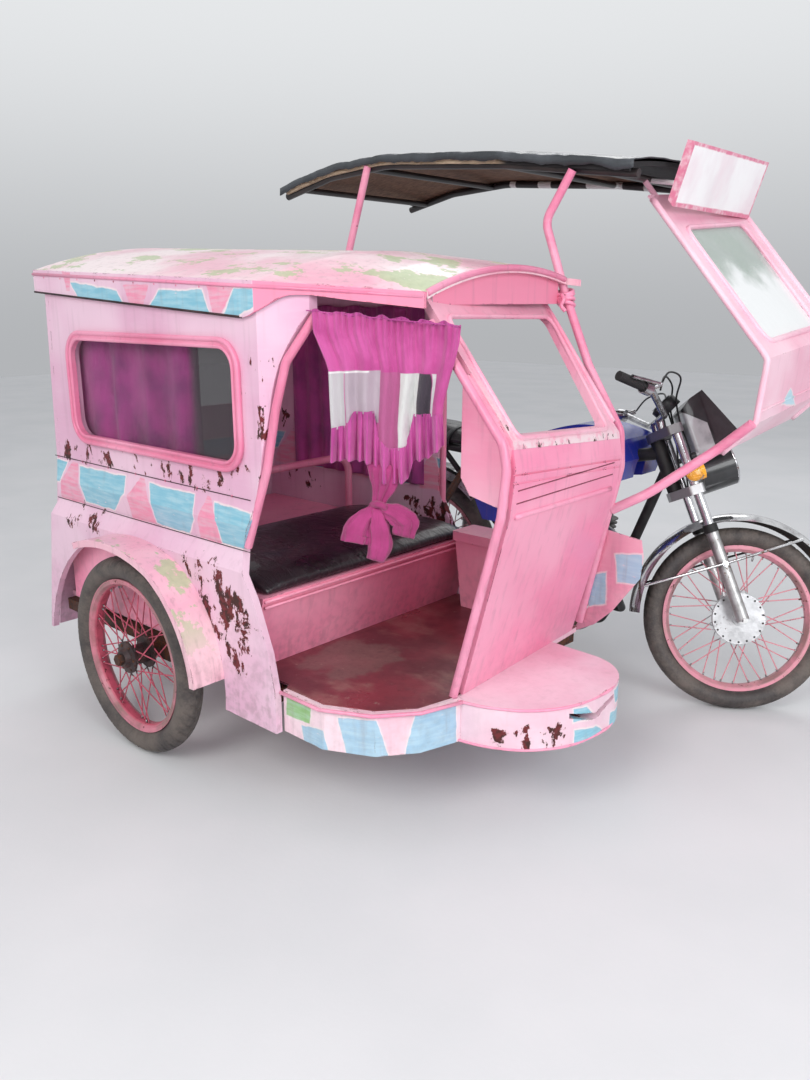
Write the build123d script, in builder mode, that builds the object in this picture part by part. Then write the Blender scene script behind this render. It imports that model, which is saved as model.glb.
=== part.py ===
"""Sidecar motorcycle: a 125 class motorcycle with a roofed passenger sidecar on its right.

X points forward, Y left and Z up, in millimetres. While the pieces are drawn, X = 0 and Y = 0
are the front axle pointing straight ahead, on the motorcycle's middle plane, and Z = 0 is the
ground. write() then moves every piece once, so that the origin is the middle of the footprint.
"""

import os
from math import cos, radians, sin, sqrt

from build123d import *

os.makedirs("parts", exist_ok=True)

# Middle of the footprint, seen from above
middle_x = -781.2
middle_y = -633.65

# Wheels
wheel_base = 1280.0
sidecar_wheel_x = -1193.0
sidecar_wheel_y = -1485.0
front_radius = 300.0
rear_radius = 302.0
sidecar_radius = 298.0
front_tyre_height = 59.0
rear_tyre_height = 64.0
sidecar_tyre_height = 65.0
tread_drop = 10.0
flange_height = 10.0
spoke_count = 36
spoke_radius = 1.9
running_gap = 0.05
seat_gap = 0.3

# Steering, parked on its left stop
rake = 25.6
fork_offset = 49.0
left_lock = 38.0
fork_half_spacing = 92.0
slider_radius = 20.0
stanchion_radius = 15.5
lower_clamp_height = 432.0
upper_clamp_height = 640.0
clamp_thickness = 30.0
stem_radius = 13.0
head_radius = 24.0
front_axle_radius = 7.5
bar_radius = 11.1

# Sidecar body
side_y = -1420.0
inner_y = -500.0
wall = 20.0
sheet = 6.0
floor_top = 345.0
floor_thickness = 18.0
skirt_bottom = 230.0
belt_z = 818.0
band_bottom_z = 692.0
ridge_z = 640.0
ridge_out = 32.0
wall_top_z = 1500.0
roof_thickness = 18.0


left = Vector(0, 1, 0)
up = Vector(0, 0, 1)

# Directions of the steering: its axis, and forward and left of the turned fork
steer_axis = Vector(-sin(radians(rake)), 0, cos(radians(rake)))
straight_forward = Vector(cos(radians(rake)), 0, sin(radians(rake)))
fork_forward = straight_forward * cos(radians(left_lock)) + left * sin(radians(left_lock))
fork_left = steer_axis.cross(fork_forward)

# The tread's own arc gives the height of a leaning front wheel.
tread_half_width = 28.0
tread_arc = (tread_half_width**2 + tread_drop**2) / (2 * tread_drop)
lean = sqrt(1 - fork_left.Z**2)
front_axle_z = (front_radius - tread_arc) * lean + tread_arc
steer_base_x = -fork_offset * cos(radians(rake))
steer_base_z = front_axle_z - fork_offset * fork_forward.Z
steer_base = Vector(steer_base_x, 0, steer_base_z)
fork_plane = Plane(origin=steer_base, x_dir=fork_forward, z_dir=steer_axis)
straight_plane = Plane(origin=steer_base, x_dir=straight_forward, z_dir=steer_axis)

front_centre = steer_base + fork_forward * fork_offset
rear_centre = Vector(-wheel_base, 0, rear_radius)
sidecar_centre = Vector(sidecar_wheel_x, sidecar_wheel_y, sidecar_radius)


def write(piece, name):
    """Labels a finished piece, moves it to the footprint's middle and writes it."""
    piece.part.label = name
    placed = piece.part.moved(Location((-middle_x, -middle_y, 0)))
    placed.label = name
    export_step(placed, f"parts/{name}.step")


def rod(start, end, radius):
    """Adds a round bar between two points."""
    along = Vector(*end) - Vector(*start)
    with BuildSketch(Plane(origin=start, z_dir=along)) as section:
        Circle(radius)
    extrude(section.sketch, amount=along.length)


def bent_tube(points, corner_radii, radius):
    """Adds a round tube along straight runs joined by arcs."""
    with BuildLine() as route:
        FilletPolyline(*points, radius=corner_radii)
    with BuildSketch(Plane(origin=route.line @ 0, z_dir=route.line % 0)) as section:
        Circle(radius)
    sweep(section.sketch, path=route.line)


def side_outline(points, near_y, far_y, mode=Mode.ADD):
    """Extrudes an outline of (x, z) points from near_y to far_y."""
    with BuildSketch(Plane.XZ.offset(-near_y)) as outline:
        with BuildLine():
            Polyline(*points, close=True)
        make_face()
    extrude(outline.sketch, amount=near_y - far_y, mode=mode)


def block(low, high, mode=Mode.ADD):
    """Adds a square-edged block between two corners."""
    middle = [(a + b) / 2 for a, b in zip(low, high)]
    with Locations(tuple(middle)):
        Box(*[b - a for a, b in zip(low, high)], mode=mode)


def wheel_section(centre, axle, radial):
    """The half-section plane of a wheel: local x along the axle, local y outwards."""
    return Plane(origin=centre, x_dir=axle, z_dir=axle.cross(radial))


def add_tyre(centre, axle, radial, outer_radius, rim_flange, half_width):
    """Adds a tyre, with its bead between the rim's flanges and its sides bulging over them."""
    bead_half = 19.0
    seat_radius = rim_flange - flange_height
    side_foot = rim_flange + 3.0
    with BuildSketch(wheel_section(centre, axle, radial)) as section:
        with BuildLine():
            tread_start = (tread_half_width, outer_radius - tread_drop)
            foot = (bead_half, side_foot)
            widest = (half_width, side_foot + 0.5 * (outer_radius - tread_drop - side_foot))
            Polyline(
                (-bead_half, side_foot), (-bead_half, seat_radius), (bead_half, seat_radius), foot
            )
            ThreePointArc(foot, widest, tread_start)
            ThreePointArc(tread_start, (0, outer_radius), (-tread_half_width, outer_radius - tread_drop))
            ThreePointArc(
                (-tread_half_width, outer_radius - tread_drop),
                (-half_width, widest[1]),
                (-bead_half, side_foot),
            )
        make_face()
    revolve(section.sketch, axis=Axis(centre, axle))


def add_rim(centre, axle, radial, rim_flange):
    """Adds the rolled rim: two flanges, the bead seats and a well between them."""
    seat = rim_flange - flange_height
    with BuildSketch(wheel_section(centre, axle, radial)) as section:
        with BuildLine():
            Polyline(
                (-23, rim_flange),
                (-19, rim_flange),
                (-19, seat),
                (-9, seat - 3),
                (9, seat - 3),
                (19, seat),
                (19, rim_flange),
                (23, rim_flange),
                (23, seat - 3),
                (10, seat - 12),
                (-10, seat - 12),
                (-23, seat - 3),
                close=True,
            )
        make_face()
    revolve(section.sketch, axis=Axis(centre, axle))


def add_hub(centre, axle, radial, profile, bore):
    """Revolves a hub from its half-section of (along the axle, radius) points."""
    with BuildSketch(wheel_section(centre, axle, radial)) as section:
        with BuildLine():
            Polyline((profile[0][0], bore), *profile, (profile[-1][0], bore), close=True)
        make_face()
    revolve(section.sketch, axis=Axis(centre, axle))


def add_spokes(centre, axle, radial, flange_half, flange_radius, rim_radius, crossing):
    """Laces the wheel: on each side the spokes lean forward and back in turn."""
    third = axle.cross(radial)
    planes = []
    length = 0
    for index in range(spoke_count):
        side = 1 if index % 2 else -1
        lead = 1 if index % 4 < 2 else -1
        foot_angle = radians(360 / spoke_count * index)
        tip_angle = foot_angle + radians(crossing * lead)
        foot = (
            centre
            + axle * (side * flange_half)
            + (radial * cos(foot_angle) + third * sin(foot_angle)) * flange_radius
        )
        tip = (
            centre
            + axle * (side * 4.0)
            + (radial * cos(tip_angle) + third * sin(tip_angle)) * rim_radius
        )
        length = (tip - foot).length
        planes.append(Plane(origin=foot, z_dir=tip - foot))
    with BuildSketch(*planes) as feet:
        Circle(spoke_radius)
    extrude(feet.sketch, amount=length)


# Hub half-sections, as (along the axle, radius); the brake drum is on the right-hand side
front_hub = [(-46, 22), (-40, 22), (-40, 84), (-22, 84), (-22, 46), (20, 46), (20, 60), (26, 60)]
front_hub += [(26, 22), (46, 22)]
rear_hub = [(-50, 24), (-42, 24), (-42, 78), (-24, 78), (-24, 50), (20, 50), (20, 64), (36, 64)]
rear_hub += [(36, 24), (50, 24)]
sidecar_hub = [(-52, 24), (-38, 30), (-34, 48), (-28, 48), (-28, 30), (28, 30), (28, 48), (34, 48)]
sidecar_hub += [(38, 30), (42, 24)]

# Wheels: flange radius of the rim, tyre half width, hub and the circle of the spokes' feet
wheels = {
    "front": dict(
        centre=front_centre,
        axle=fork_left,
        radial=steer_axis,
        outer=front_radius,
        flange=front_radius - front_tyre_height,
        half=35.0,
        bore=front_axle_radius,
        hub=front_hub,
        spoke_half=24.0,
        spoke_foot=56.0,
        crossing=42.0,
    ),
    "rear": dict(
        centre=rear_centre,
        axle=left,
        radial=up,
        outer=rear_radius,
        flange=rear_radius - rear_tyre_height,
        half=38.0,
        bore=8.5,
        hub=rear_hub,
        spoke_half=22.0,
        spoke_foot=60.0,
        crossing=42.0,
    ),
    "sidecar": dict(
        centre=sidecar_centre,
        axle=left,
        radial=up,
        outer=sidecar_radius,
        flange=sidecar_radius - sidecar_tyre_height,
        half=38.0,
        bore=10.0,
        hub=sidecar_hub,
        spoke_half=31.0,
        spoke_foot=44.0,
        crossing=48.0,
    ),
}

for wheel_name, wheel in wheels.items():
    pose = (wheel["centre"], wheel["axle"], wheel["radial"])

    with BuildPart() as tyre:
        add_tyre(*pose, wheel["outer"], wheel["flange"], wheel["half"])
    write(tyre, f"{wheel_name}_tyre")

    with BuildPart() as wire_wheel:
        add_rim(*pose, wheel["flange"])
        add_hub(*pose, wheel["hub"], wheel["bore"] + running_gap)
        add_spokes(
            *pose,
            wheel["spoke_half"],
            wheel["spoke_foot"],
            wheel["flange"] - flange_height - 9.0,
            wheel["crossing"],
        )
    write(wire_wheel, f"{wheel_name}_wheel")


# Front fork: two legs, their clamps, the stem and the axle
fork_wheel_gap = 46.0
with BuildPart(fork_plane) as front_fork:
    for side in (-1, 1):
        leg_y = side * fork_half_spacing
        with Locations((fork_offset, leg_y, 0)):
            Cylinder(slider_radius, 300, align=(Align.CENTER, Align.CENTER, Align.MIN))
            Cylinder(
                stanchion_radius,
                upper_clamp_height + clamp_thickness,
                align=(Align.CENTER, Align.CENTER, Align.MIN),
            )
        with Locations((fork_offset, leg_y, 300)):
            Cylinder(slider_radius + 3, 26, align=(Align.CENTER, Align.CENTER, Align.MIN))
    for clamp_z in (lower_clamp_height, upper_clamp_height):
        with BuildSketch(fork_plane.offset(clamp_z)):
            with BuildLine():
                Polyline(
                    (fork_offset + 26, fork_half_spacing + 26),
                    (fork_offset - 26, fork_half_spacing + 26),
                    (-26, 30),
                    (-26, -30),
                    (fork_offset - 26, -fork_half_spacing - 26),
                    (fork_offset + 26, -fork_half_spacing - 26),
                    (fork_offset, -20),
                    (fork_offset, 20),
                    close=True,
                )
            make_face()
            fillet(vertices(), 12)
        extrude(amount=clamp_thickness)
    with Locations((0, 0, lower_clamp_height)):
        Cylinder(
            stem_radius,
            upper_clamp_height - lower_clamp_height,
            align=(Align.CENTER, Align.CENTER, Align.MIN),
        )
    with Locations((fork_offset, 0, 0)):
        Cylinder(
            front_axle_radius,
            2 * fork_half_spacing + 60,
            rotation=(90, 0, 0),
        )
        for side in (-1, 1):
            with Locations((0, side * (fork_wheel_gap + seat_gap + 13), 0)):
                Cylinder(14, 26, rotation=(90, 0, 0))
write(front_fork, "front_fork")



def fork_point(forward, sideways, height):
    """A point given in the turned fork's own frame."""
    return fork_plane.from_local_coords((forward, sideways, height))


def fork_face(forward, height):
    """A plane that faces forward on the turned fork."""
    return Plane(fork_point(forward, 0, height), x_dir=fork_left, z_dir=fork_forward)


# Handlebar with its risers, grips and levers
bar_height = upper_clamp_height + clamp_thickness + 34
bar_forward = 22.0
bar_straight = 100.0
grip_radius = 15.0
with BuildPart() as handlebar:
    rod(
        fork_point(bar_forward, -bar_straight, bar_height),
        fork_point(bar_forward, bar_straight, bar_height),
        bar_radius,
    )
    for side in (-1, 1):
        bend = fork_point(-18, side * 275, bar_height + 76)
        bar_end = fork_point(-109, side * 356, bar_height + 139)
        outward = (bar_end - bend).normalized()
        bent_tube(
            [
                fork_point(bar_forward, side * bar_straight, bar_height),
                fork_point(bar_forward, side * (bar_straight + 40), bar_height),
                bend,
                bar_end,
            ],
            [45, 40],
            bar_radius,
        )
        rod(bend + outward * 34, bar_end + outward * 3, grip_radius)
        rod(bend + outward * 8, bend + outward * 36, 22)
        ahead = fork_forward * 42
        lever_pivot = bend + outward * 14 + ahead
        rod(lever_pivot, bar_end + fork_forward * 36 - steer_axis * 14, 6)
        rod(bend + outward * 14, lever_pivot, 9)
        riser_foot = fork_point(18, side * 45, upper_clamp_height + clamp_thickness)
        rod(riser_foot, fork_point(bar_forward, side * 45, bar_height), 16)
    add(front_fork.part, mode=Mode.SUBTRACT)
write(handlebar, "handlebar")

# Headlamp bowl in front of the fork, and the pointed cowl over it
cowl_back = fork_offset + 38
cowl_half = 96.0
lamp_height = 495.0
lamp_front = cowl_back + 112
bowl_radius = 74.0
lamp_radius = 66.0
lamp_recess = 30.0
indicator_height = 503.0
cowl_side = Plane(origin=steer_base, x_dir=fork_forward, z_dir=fork_left * -1)
with BuildPart() as headlamp_cowl:
    with BuildSketch(cowl_side.offset(-cowl_half)):
        with BuildLine():
            Polyline(
                (cowl_back, lamp_height + 30),
                (cowl_back, lamp_height + 212),
                (cowl_back + 36, lamp_height + 238),
                (cowl_back + 84, lamp_height + 252),
                (cowl_back + 160, lamp_height + 96),
                (cowl_back + 148, lamp_height + 62),
                (cowl_back + 86, lamp_height + 40),
                close=True,
            )
        make_face()
    extrude(amount=2 * cowl_half)
    with BuildSketch(fork_plane.offset(lamp_height)):
        with BuildLine():
            Polyline(
                (cowl_back, -cowl_half),
                (cowl_back, cowl_half),
                (cowl_back + 70, cowl_half),
                (cowl_back + 170, 34),
                (cowl_back + 170, -34),
                (cowl_back + 70, -cowl_half),
                close=True,
            )
        make_face()
        fillet(vertices(), 14)
    extrude(amount=300, mode=Mode.INTERSECT)
    rod(fork_point(cowl_back, 0, lamp_height), fork_point(lamp_front, 0, lamp_height), bowl_radius)
    with BuildSketch(fork_face(lamp_front - lamp_recess, lamp_height)):
        Circle(lamp_radius + 0.5)
    extrude(amount=lamp_recess + 20, mode=Mode.SUBTRACT)
    for side in (-1, 1):
        bracket_start = fork_offset + stanchion_radius + seat_gap
        rod(
            fork_point(bracket_start, side * fork_half_spacing, lamp_height + 60),
            fork_point(cowl_back + 8, side * (fork_half_spacing - 8), lamp_height + 60),
            9,
        )
    add(front_fork.part, mode=Mode.SUBTRACT)
write(headlamp_cowl, "headlamp_cowl")

# Headlamp glass and the two amber indicators
with BuildPart() as front_lamps:
    with BuildSketch(fork_face(lamp_front - lamp_recess + seat_gap, lamp_height)):
        Circle(lamp_radius)
    extrude(amount=lamp_recess + 4, taper=18)
    for side in (-1, 1):
        inner = fork_half_spacing + stanchion_radius + seat_gap
        rod(
            fork_point(fork_offset, side * inner, indicator_height),
            fork_point(fork_offset, side * (inner + 45), indicator_height),
            6,
        )
        rod(
            fork_point(fork_offset - 18, side * (inner + 55), indicator_height),
            fork_point(fork_offset + 24, side * (inner + 55), indicator_height),
            32,
        )
write(front_lamps, "front_lamps")

# Front mudguard: a crowned strip round the wheel, carried by two stays on each leg
guard_radius = front_radius + 47
guard_half = 55.0
guard_drop = 26.0
guard_skin = 3.0
guard_front_angle = 12.0
guard_sweep = 146.0
guard_edge = guard_radius - guard_drop
stay_height = 192.0


def round_wheel(angle):
    """A direction away from the front axle, in degrees up from forward."""
    return fork_forward * cos(radians(angle)) + steer_axis * sin(radians(angle))


with BuildPart() as front_mudguard:
    with BuildSketch(wheel_section(front_centre, fork_left, round_wheel(guard_front_angle))):
        with BuildLine():
            inside = guard_half - guard_skin
            ThreePointArc((-guard_half, guard_edge), (0, guard_radius), (guard_half, guard_edge))
            Line((guard_half, guard_edge), (inside, guard_edge))
            ThreePointArc((inside, guard_edge), (0, guard_radius - guard_skin), (-inside, guard_edge))
            Line((-inside, guard_edge), (-guard_half, guard_edge))
        make_face()
    revolve(axis=Axis(front_centre, -fork_left), revolution_arc=guard_sweep)
    for side in (-1, 1):
        leg_side = fork_half_spacing + slider_radius
        for stay_angle in (34.0, 142.0):
            foot = fork_point(fork_offset, side * (leg_side + 8), stay_height)
            tip = front_centre + fork_left * (side * (guard_half + 3))
            tip += round_wheel(stay_angle) * (guard_edge + 4)
            rod(foot, tip, 4.5)
        boss_in = fork_point(fork_offset, side * (leg_side - 4), stay_height)
        boss_out = fork_point(fork_offset, side * (leg_side + 14), stay_height)
        rod(boss_in, boss_out, 10)
    add(front_fork.part, mode=Mode.SUBTRACT)
write(front_mudguard, "front_mudguard")


# Motorcycle frame: head tube, backbone, down tube, cradle and seat rails
def on_steering(height, forward=0.0, sideways=0.0):
    """A point given from the steering axis as if the wheel pointed straight ahead."""
    return straight_plane.from_local_coords((forward, sideways, height))


head_low = lower_clamp_height + clamp_thickness + seat_gap
head_high = upper_clamp_height - seat_gap
cradle_z = 205.0
cradle_half = 80.0
pivot_x = -845.0
pivot_z = 335.0
seat_rail_z = 745.0
rail_half = 95.0
backbone_end = (-820, 0, 735)
guard_stay_back = 120.0
guard_stay_x = -wheel_base - guard_stay_back
with BuildPart() as bike_frame:
    rod(on_steering(head_low), on_steering(head_high), head_radius)
    bent_tube([on_steering(head_high - 40), (-560, 0, 760), backbone_end], [200], 22)
    bent_tube([on_steering(head_low + 82), (-410, 0, 420), (-440, 0, cradle_z + 60)], [250], 17)
    for side in (-1, 1):
        bent_tube(
            [
                (-432, 0, cradle_z + 75),
                (-450, side * cradle_half, cradle_z),
                (-800, side * cradle_half, cradle_z),
                (-870, side * cradle_half, cradle_z + 70),
                (-845, side * cradle_half, 560),
                (-810, side * 20, 730),
            ],
            [18, 40, 40, 60],
            14,
        )
        bent_tube(
            [
                (-800, side * 20, 735),
                (-900, side * rail_half, seat_rail_z),
                (-1480, side * rail_half, seat_rail_z + 25),
            ],
            [60],
            13,
        )
        rod((-862, side * cradle_half, 430), (-1180, side * rail_half, seat_rail_z + 8), 11)
    rod((guard_stay_x, -rail_half, seat_rail_z + 21), (guard_stay_x, rail_half, seat_rail_z + 21), 11)
    rod((-1180, -rail_half, seat_rail_z + 8), (-1180, rail_half, seat_rail_z + 8), 11)
    rod((pivot_x - 12, -cradle_half, pivot_z), (pivot_x - 12, cradle_half, pivot_z), 20)
    rod((-760, -215, cradle_z - 2), (-760, 215, cradle_z - 2), 10)
    for side in (-1, 1):
        rod((-760, side * 130, cradle_z - 2), (-760, side * 230, cradle_z - 2), 17)
    with BuildSketch(straight_plane.offset(head_low - 5)):
        Circle(stem_radius + running_gap)
    extrude(amount=head_high - head_low + 10, mode=Mode.SUBTRACT)
write(bike_frame, "bike_frame")

# Engine: crankcase with round covers, and a finned cylinder and head leaning a little forward
engine_x = -600.0
crank_z = 330.0
cylinder_lean = 12.0
fin_count = 9
fin_pitch = 16.0
fin_thickness = 4.0
cylinder_plane = Plane(
    origin=(engine_x + 30, 0, crank_z + 80),
    x_dir=(cos(radians(cylinder_lean)), 0, -sin(radians(cylinder_lean))),
    z_dir=(sin(radians(cylinder_lean)), 0, cos(radians(cylinder_lean))),
)
with BuildPart() as engine:
    with BuildSketch(Plane.XZ.offset(-62)):
        with BuildLine():
            Polyline(
                (engine_x + 115, crank_z - 70),
                (engine_x + 130, crank_z + 20),
                (engine_x + 95, crank_z + 95),
                (engine_x - 60, crank_z + 95),
                (engine_x - 175, crank_z + 75),
                (engine_x - 195, crank_z - 20),
                (engine_x - 150, crank_z - 90),
                (engine_x + 60, crank_z - 95),
                close=True,
            )
        make_face()
        fillet(vertices(), 22)
    extrude(amount=124)
    for side, cover_x, cover_radius, cover_depth in (
        (-1, engine_x + 30, 72, 46),
        (-1, engine_x - 75, 62, 34),
        (1, engine_x + 40, 66, 50),
        (1, engine_x - 85, 48, 30),
    ):
        rod((cover_x, side * 60, crank_z), (cover_x, side * (62 + cover_depth), crank_z), cover_radius)
    with BuildSketch(cylinder_plane):
        Rectangle(86, 86)
    extrude(amount=fin_count * fin_pitch + 20)
    for fin in range(fin_count):
        with BuildSketch(cylinder_plane.offset(24 + fin * fin_pitch)):
            RectangleRounded(126, 134, 16)
        extrude(amount=fin_thickness)
    with BuildSketch(cylinder_plane.offset(24 + fin_count * fin_pitch)):
        RectangleRounded(104, 92, 20)
    extrude(amount=40)
    with Locations((engine_x - 50, 0, crank_z + 165)):
        Cylinder(24, 120, rotation=(0, 90, 0))
    with Locations((engine_x - 100, 0, crank_z + 165)):
        Box(60, 60, 76)
    add(bike_frame.part, mode=Mode.SUBTRACT)
write(engine, "engine")

# Exhaust: down pipe under the engine to a long silencer beside the rear wheel
exhaust_y = -206.0
with BuildPart() as exhaust:
    bent_tube(
        [
            cylinder_plane.from_local_coords((66, -22, 130)),
            cylinder_plane.from_local_coords((110, -30, 120)),
            (engine_x + 170, -60, 330),
            (engine_x + 110, -124, 180),
            (engine_x - 160, -138, 180),
            (engine_x - 330, exhaust_y, 240),
            (engine_x - 420, exhaust_y, 252),
        ],
        [14, 40, 50, 60, 80],
        16,
    )
    rod((engine_x - 400, exhaust_y, 258), (engine_x - 470, exhaust_y, 268), 28)
    rod((engine_x - 460, exhaust_y, 266), (engine_x - 860, exhaust_y, 326), 40)
    rod((engine_x - 850, exhaust_y, 324), (engine_x - 900, exhaust_y, 332), 22)
    add(engine.part, mode=Mode.SUBTRACT)
    add(bike_frame.part, mode=Mode.SUBTRACT)
write(exhaust, "exhaust")

# Fuel tank, with a tunnel over the backbone and hollows beside the steering head
with BuildPart() as fuel_tank:
    with BuildSketch(Plane.XZ):
        with BuildLine():
            Polyline((-385, 725), (-372, 790), (-400, 858))
            Spline((-400, 858), (-520, 896), (-700, 858), (-820, 792))
            Polyline((-820, 792), (-835, 750), (-560, 700), (-385, 725))
        make_face()
    extrude(amount=150, both=True)
    with BuildSketch(Plane.YZ.offset(-880)):
        with BuildLine():
            Polyline((-70, 905), (-135, 850), (-150, 770), (-120, 690), (120, 690), (150, 770))
            Polyline((150, 770), (135, 850), (70, 905), (-70, 905))
        make_face()
        fillet(vertices().sort_by(Axis.Y)[2:], 30)
    extrude(amount=560, mode=Mode.INTERSECT)
    with BuildSketch(Plane.YZ.offset(-900)):
        with Locations((0, 715)):
            RectangleRounded(62, 150, 20)
    extrude(amount=600, mode=Mode.SUBTRACT)
    rod((-500, 0, 880), (-500, 0, 906), 30)
    add(bike_frame.part, mode=Mode.SUBTRACT)
write(fuel_tank, "fuel_tank")

# Saddle
seat_front_x = -838.0
seat_back_x = -1450.0
with BuildPart() as bike_seat:
    with BuildSketch(Plane.XZ):
        with BuildLine():
            Polyline((seat_front_x, 756), (seat_front_x + 6, 792), (-900, 800), (-1080, 806))
            Polyline((-1080, 806), (-1180, 836), (-1420, 850), (seat_back_x, 835), (seat_back_x, 782))
            Line((seat_back_x, 782), (seat_front_x, 756))
        make_face()
    extrude(amount=120, both=True)
    fillet(edges().filter_by(Axis.Y).group_by(Axis.Z)[-1], 12)
write(bike_seat, "bike_seat")

# Blue side covers below the saddle
with BuildPart() as side_covers:
    for side in (-1, 1):
        side_outline(
            [(-872, 735), (-1020, 740), (-1012, 600), (-960, 500), (-890, 500)],
            side * 112 + 4,
            side * 112 - 4,
        )
        rod((-930, side * 85, 728), (-930, side * 110, 728), 9)
    add(bike_frame.part, mode=Mode.SUBTRACT)
write(side_covers, "side_covers")

# Swing arm with the rear axle and the chain case
arm_half = 72.0
swing_x = pivot_x - 12 - 20 - 17 - seat_gap
with BuildPart() as swingarm:
    rod((swing_x, -arm_half - 12, pivot_z), (swing_x, arm_half + 12, pivot_z), 17)
    for side in (-1, 1):
        bent_tube(
            [
                (swing_x, side * arm_half, pivot_z),
                (pivot_x - 200, side * (arm_half + 12), pivot_z - 12),
                (-wheel_base - 40, side * (arm_half + 12), rear_radius),
            ],
            [120],
            15,
        )
    rod((-wheel_base, -arm_half - 40, rear_radius), (-wheel_base, arm_half + 40, rear_radius), 8.5)
    for side in (-1, 1):
        inner_end = side * (50 + seat_gap)
        rod((-wheel_base, inner_end, rear_radius), (-wheel_base, side * (arm_half + 8), rear_radius), 14)
        stud_start = (-wheel_base + 40, side * (arm_half + 10), rear_radius)
        rod(stud_start, (-wheel_base + 40, side * 122, rear_radius), 8)
    side_outline(
        [(pivot_x - 70, 385), (-wheel_base + 30, 372), (-wheel_base + 30, 350), (pivot_x - 70, 362)],
        62,
        40,
    )
    rod((pivot_x - 160, 50, 340), (pivot_x - 160, 50, 366), 6)
    rod((pivot_x - 160, 50, 336), (pivot_x - 160, arm_half, 332), 6)
    add(bike_frame.part, mode=Mode.SUBTRACT)
write(swingarm, "swingarm")

# Rear shock absorbers: springs round a rod, with an eye at each end
shock_y = 128.0
with BuildPart() as rear_shocks:
    for side in (-1, 1):
        foot = Vector(-wheel_base + 40, side * shock_y, rear_radius)
        head = Vector(-1180, side * shock_y, seat_rail_z + 8)
        along = (head - foot).normalized()
        rod(foot, head, 7)
        rod(foot + along * 40, foot + along * 150, 17)
        turns = 14
        first = 110.0
        pitch = 17.0
        for turn in range(turns):
            start = foot + along * (first + turn * pitch)
            rod(start, start + along * 8, 27)
        rod(foot + along * first, foot + along * (first + turns * pitch), 20)
        rod(foot + along * (first + turns * pitch), foot + along * (first + turns * pitch + 40), 24)
        rod(foot - left * (side * 9.7), foot + left * (side * 12), 15)
        rod(head - left * (side * (shock_y - rail_half - 11)), head + left * (side * 12), 14)
    add(swingarm.part, mode=Mode.SUBTRACT)
    add(bike_frame.part, mode=Mode.SUBTRACT)
write(rear_shocks, "rear_shocks")

# Rear mudguard with its lamp
rear_guard_radius = rear_radius + 62
rear_guard_half = 62.0
guard_stay_z = rear_radius + sqrt(rear_guard_radius**2 - guard_stay_back**2) - 6
with BuildPart() as rear_mudguard:
    with BuildSketch(wheel_section(rear_centre, left, Vector(cos(radians(48)), 0, sin(radians(48))))):
        with BuildLine():
            Polyline(
                (-rear_guard_half, rear_guard_radius - 34),
                (-rear_guard_half + 12, rear_guard_radius - 6),
                (-rear_guard_half + 30, rear_guard_radius),
                (rear_guard_half - 30, rear_guard_radius),
                (rear_guard_half - 12, rear_guard_radius - 6),
                (rear_guard_half, rear_guard_radius - 34),
            )
            offset(amount=3, side=Side.RIGHT)
        make_face()
    revolve(axis=Axis(rear_centre, -left), revolution_arc=118)
    lamp_angle = radians(150)
    lamp_foot = rear_centre + Vector(cos(lamp_angle), 0, sin(lamp_angle)) * (rear_guard_radius - 1)
    lamp_plane = Plane(origin=lamp_foot, x_dir=(0, 1, 0), z_dir=(cos(lamp_angle), 0, sin(lamp_angle)))
    with BuildSketch(lamp_plane):
        RectangleRounded(90, 70, 12)
    extrude(amount=48)
    for side in (-1, 1):
        rod((guard_stay_x, side * 50, guard_stay_z), (guard_stay_x, side * 50, seat_rail_z + 21), 7)
    add(bike_frame.part, mode=Mode.SUBTRACT)
write(rear_mudguard, "rear_mudguard")

# Sidecar chassis: a ladder of square tubes, the axle's bearer and the struts to the motorcycle
rail = 38.0
chassis_top = floor_top - floor_thickness
rail_z = chassis_top - rail / 2
outer_rail_y = -1385.0
inner_rail_y = -530.0
chassis_front_x = -300.0
chassis_back_x = -1750.0
cross_xs = (-320, -700, sidecar_wheel_x, -1730)
with BuildPart() as sidecar_chassis:
    rails = ((outer_rail_y, -640.0), (inner_rail_y, chassis_front_x), (-1120, chassis_front_x))
    for rail_y, front_x in rails:
        block(
            (chassis_back_x, rail_y - rail / 2, rail_z - rail / 2),
            (front_x, rail_y + rail / 2, rail_z + rail / 2),
        )
    for cross_x, cross_outer in zip(cross_xs, (-1120, outer_rail_y, outer_rail_y, outer_rail_y)):
        block(
            (cross_x - rail / 2, cross_outer, rail_z - rail / 2),
            (cross_x + rail / 2, inner_rail_y, rail_z + rail / 2),
        )
    for strut_x, strut_z in ((-470, cradle_z), (-790, cradle_z)):
        rod((strut_x, inner_rail_y, rail_z), (strut_x, -cradle_half - 14 + 2, strut_z), 14)
    rod((-1040, inner_rail_y, rail_z + 10), (-1040, -rail_half - 4, seat_rail_z - 30), 14)
    rod((-1040, -rail_half - 2, seat_rail_z - 50), (-1040, -rail_half - 2, seat_rail_z + 4), 12)
    rod((-330, inner_rail_y, rail_z + 10), (-400, -14, 470), 14)
    add(bike_frame.part, mode=Mode.SUBTRACT)
    add(exhaust.part, mode=Mode.SUBTRACT)
    add(engine.part, mode=Mode.SUBTRACT)
    block((-2000, -1500, chassis_top), (200, inner_y + 2, 700), mode=Mode.SUBTRACT)
write(sidecar_chassis, "sidecar_chassis")

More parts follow.
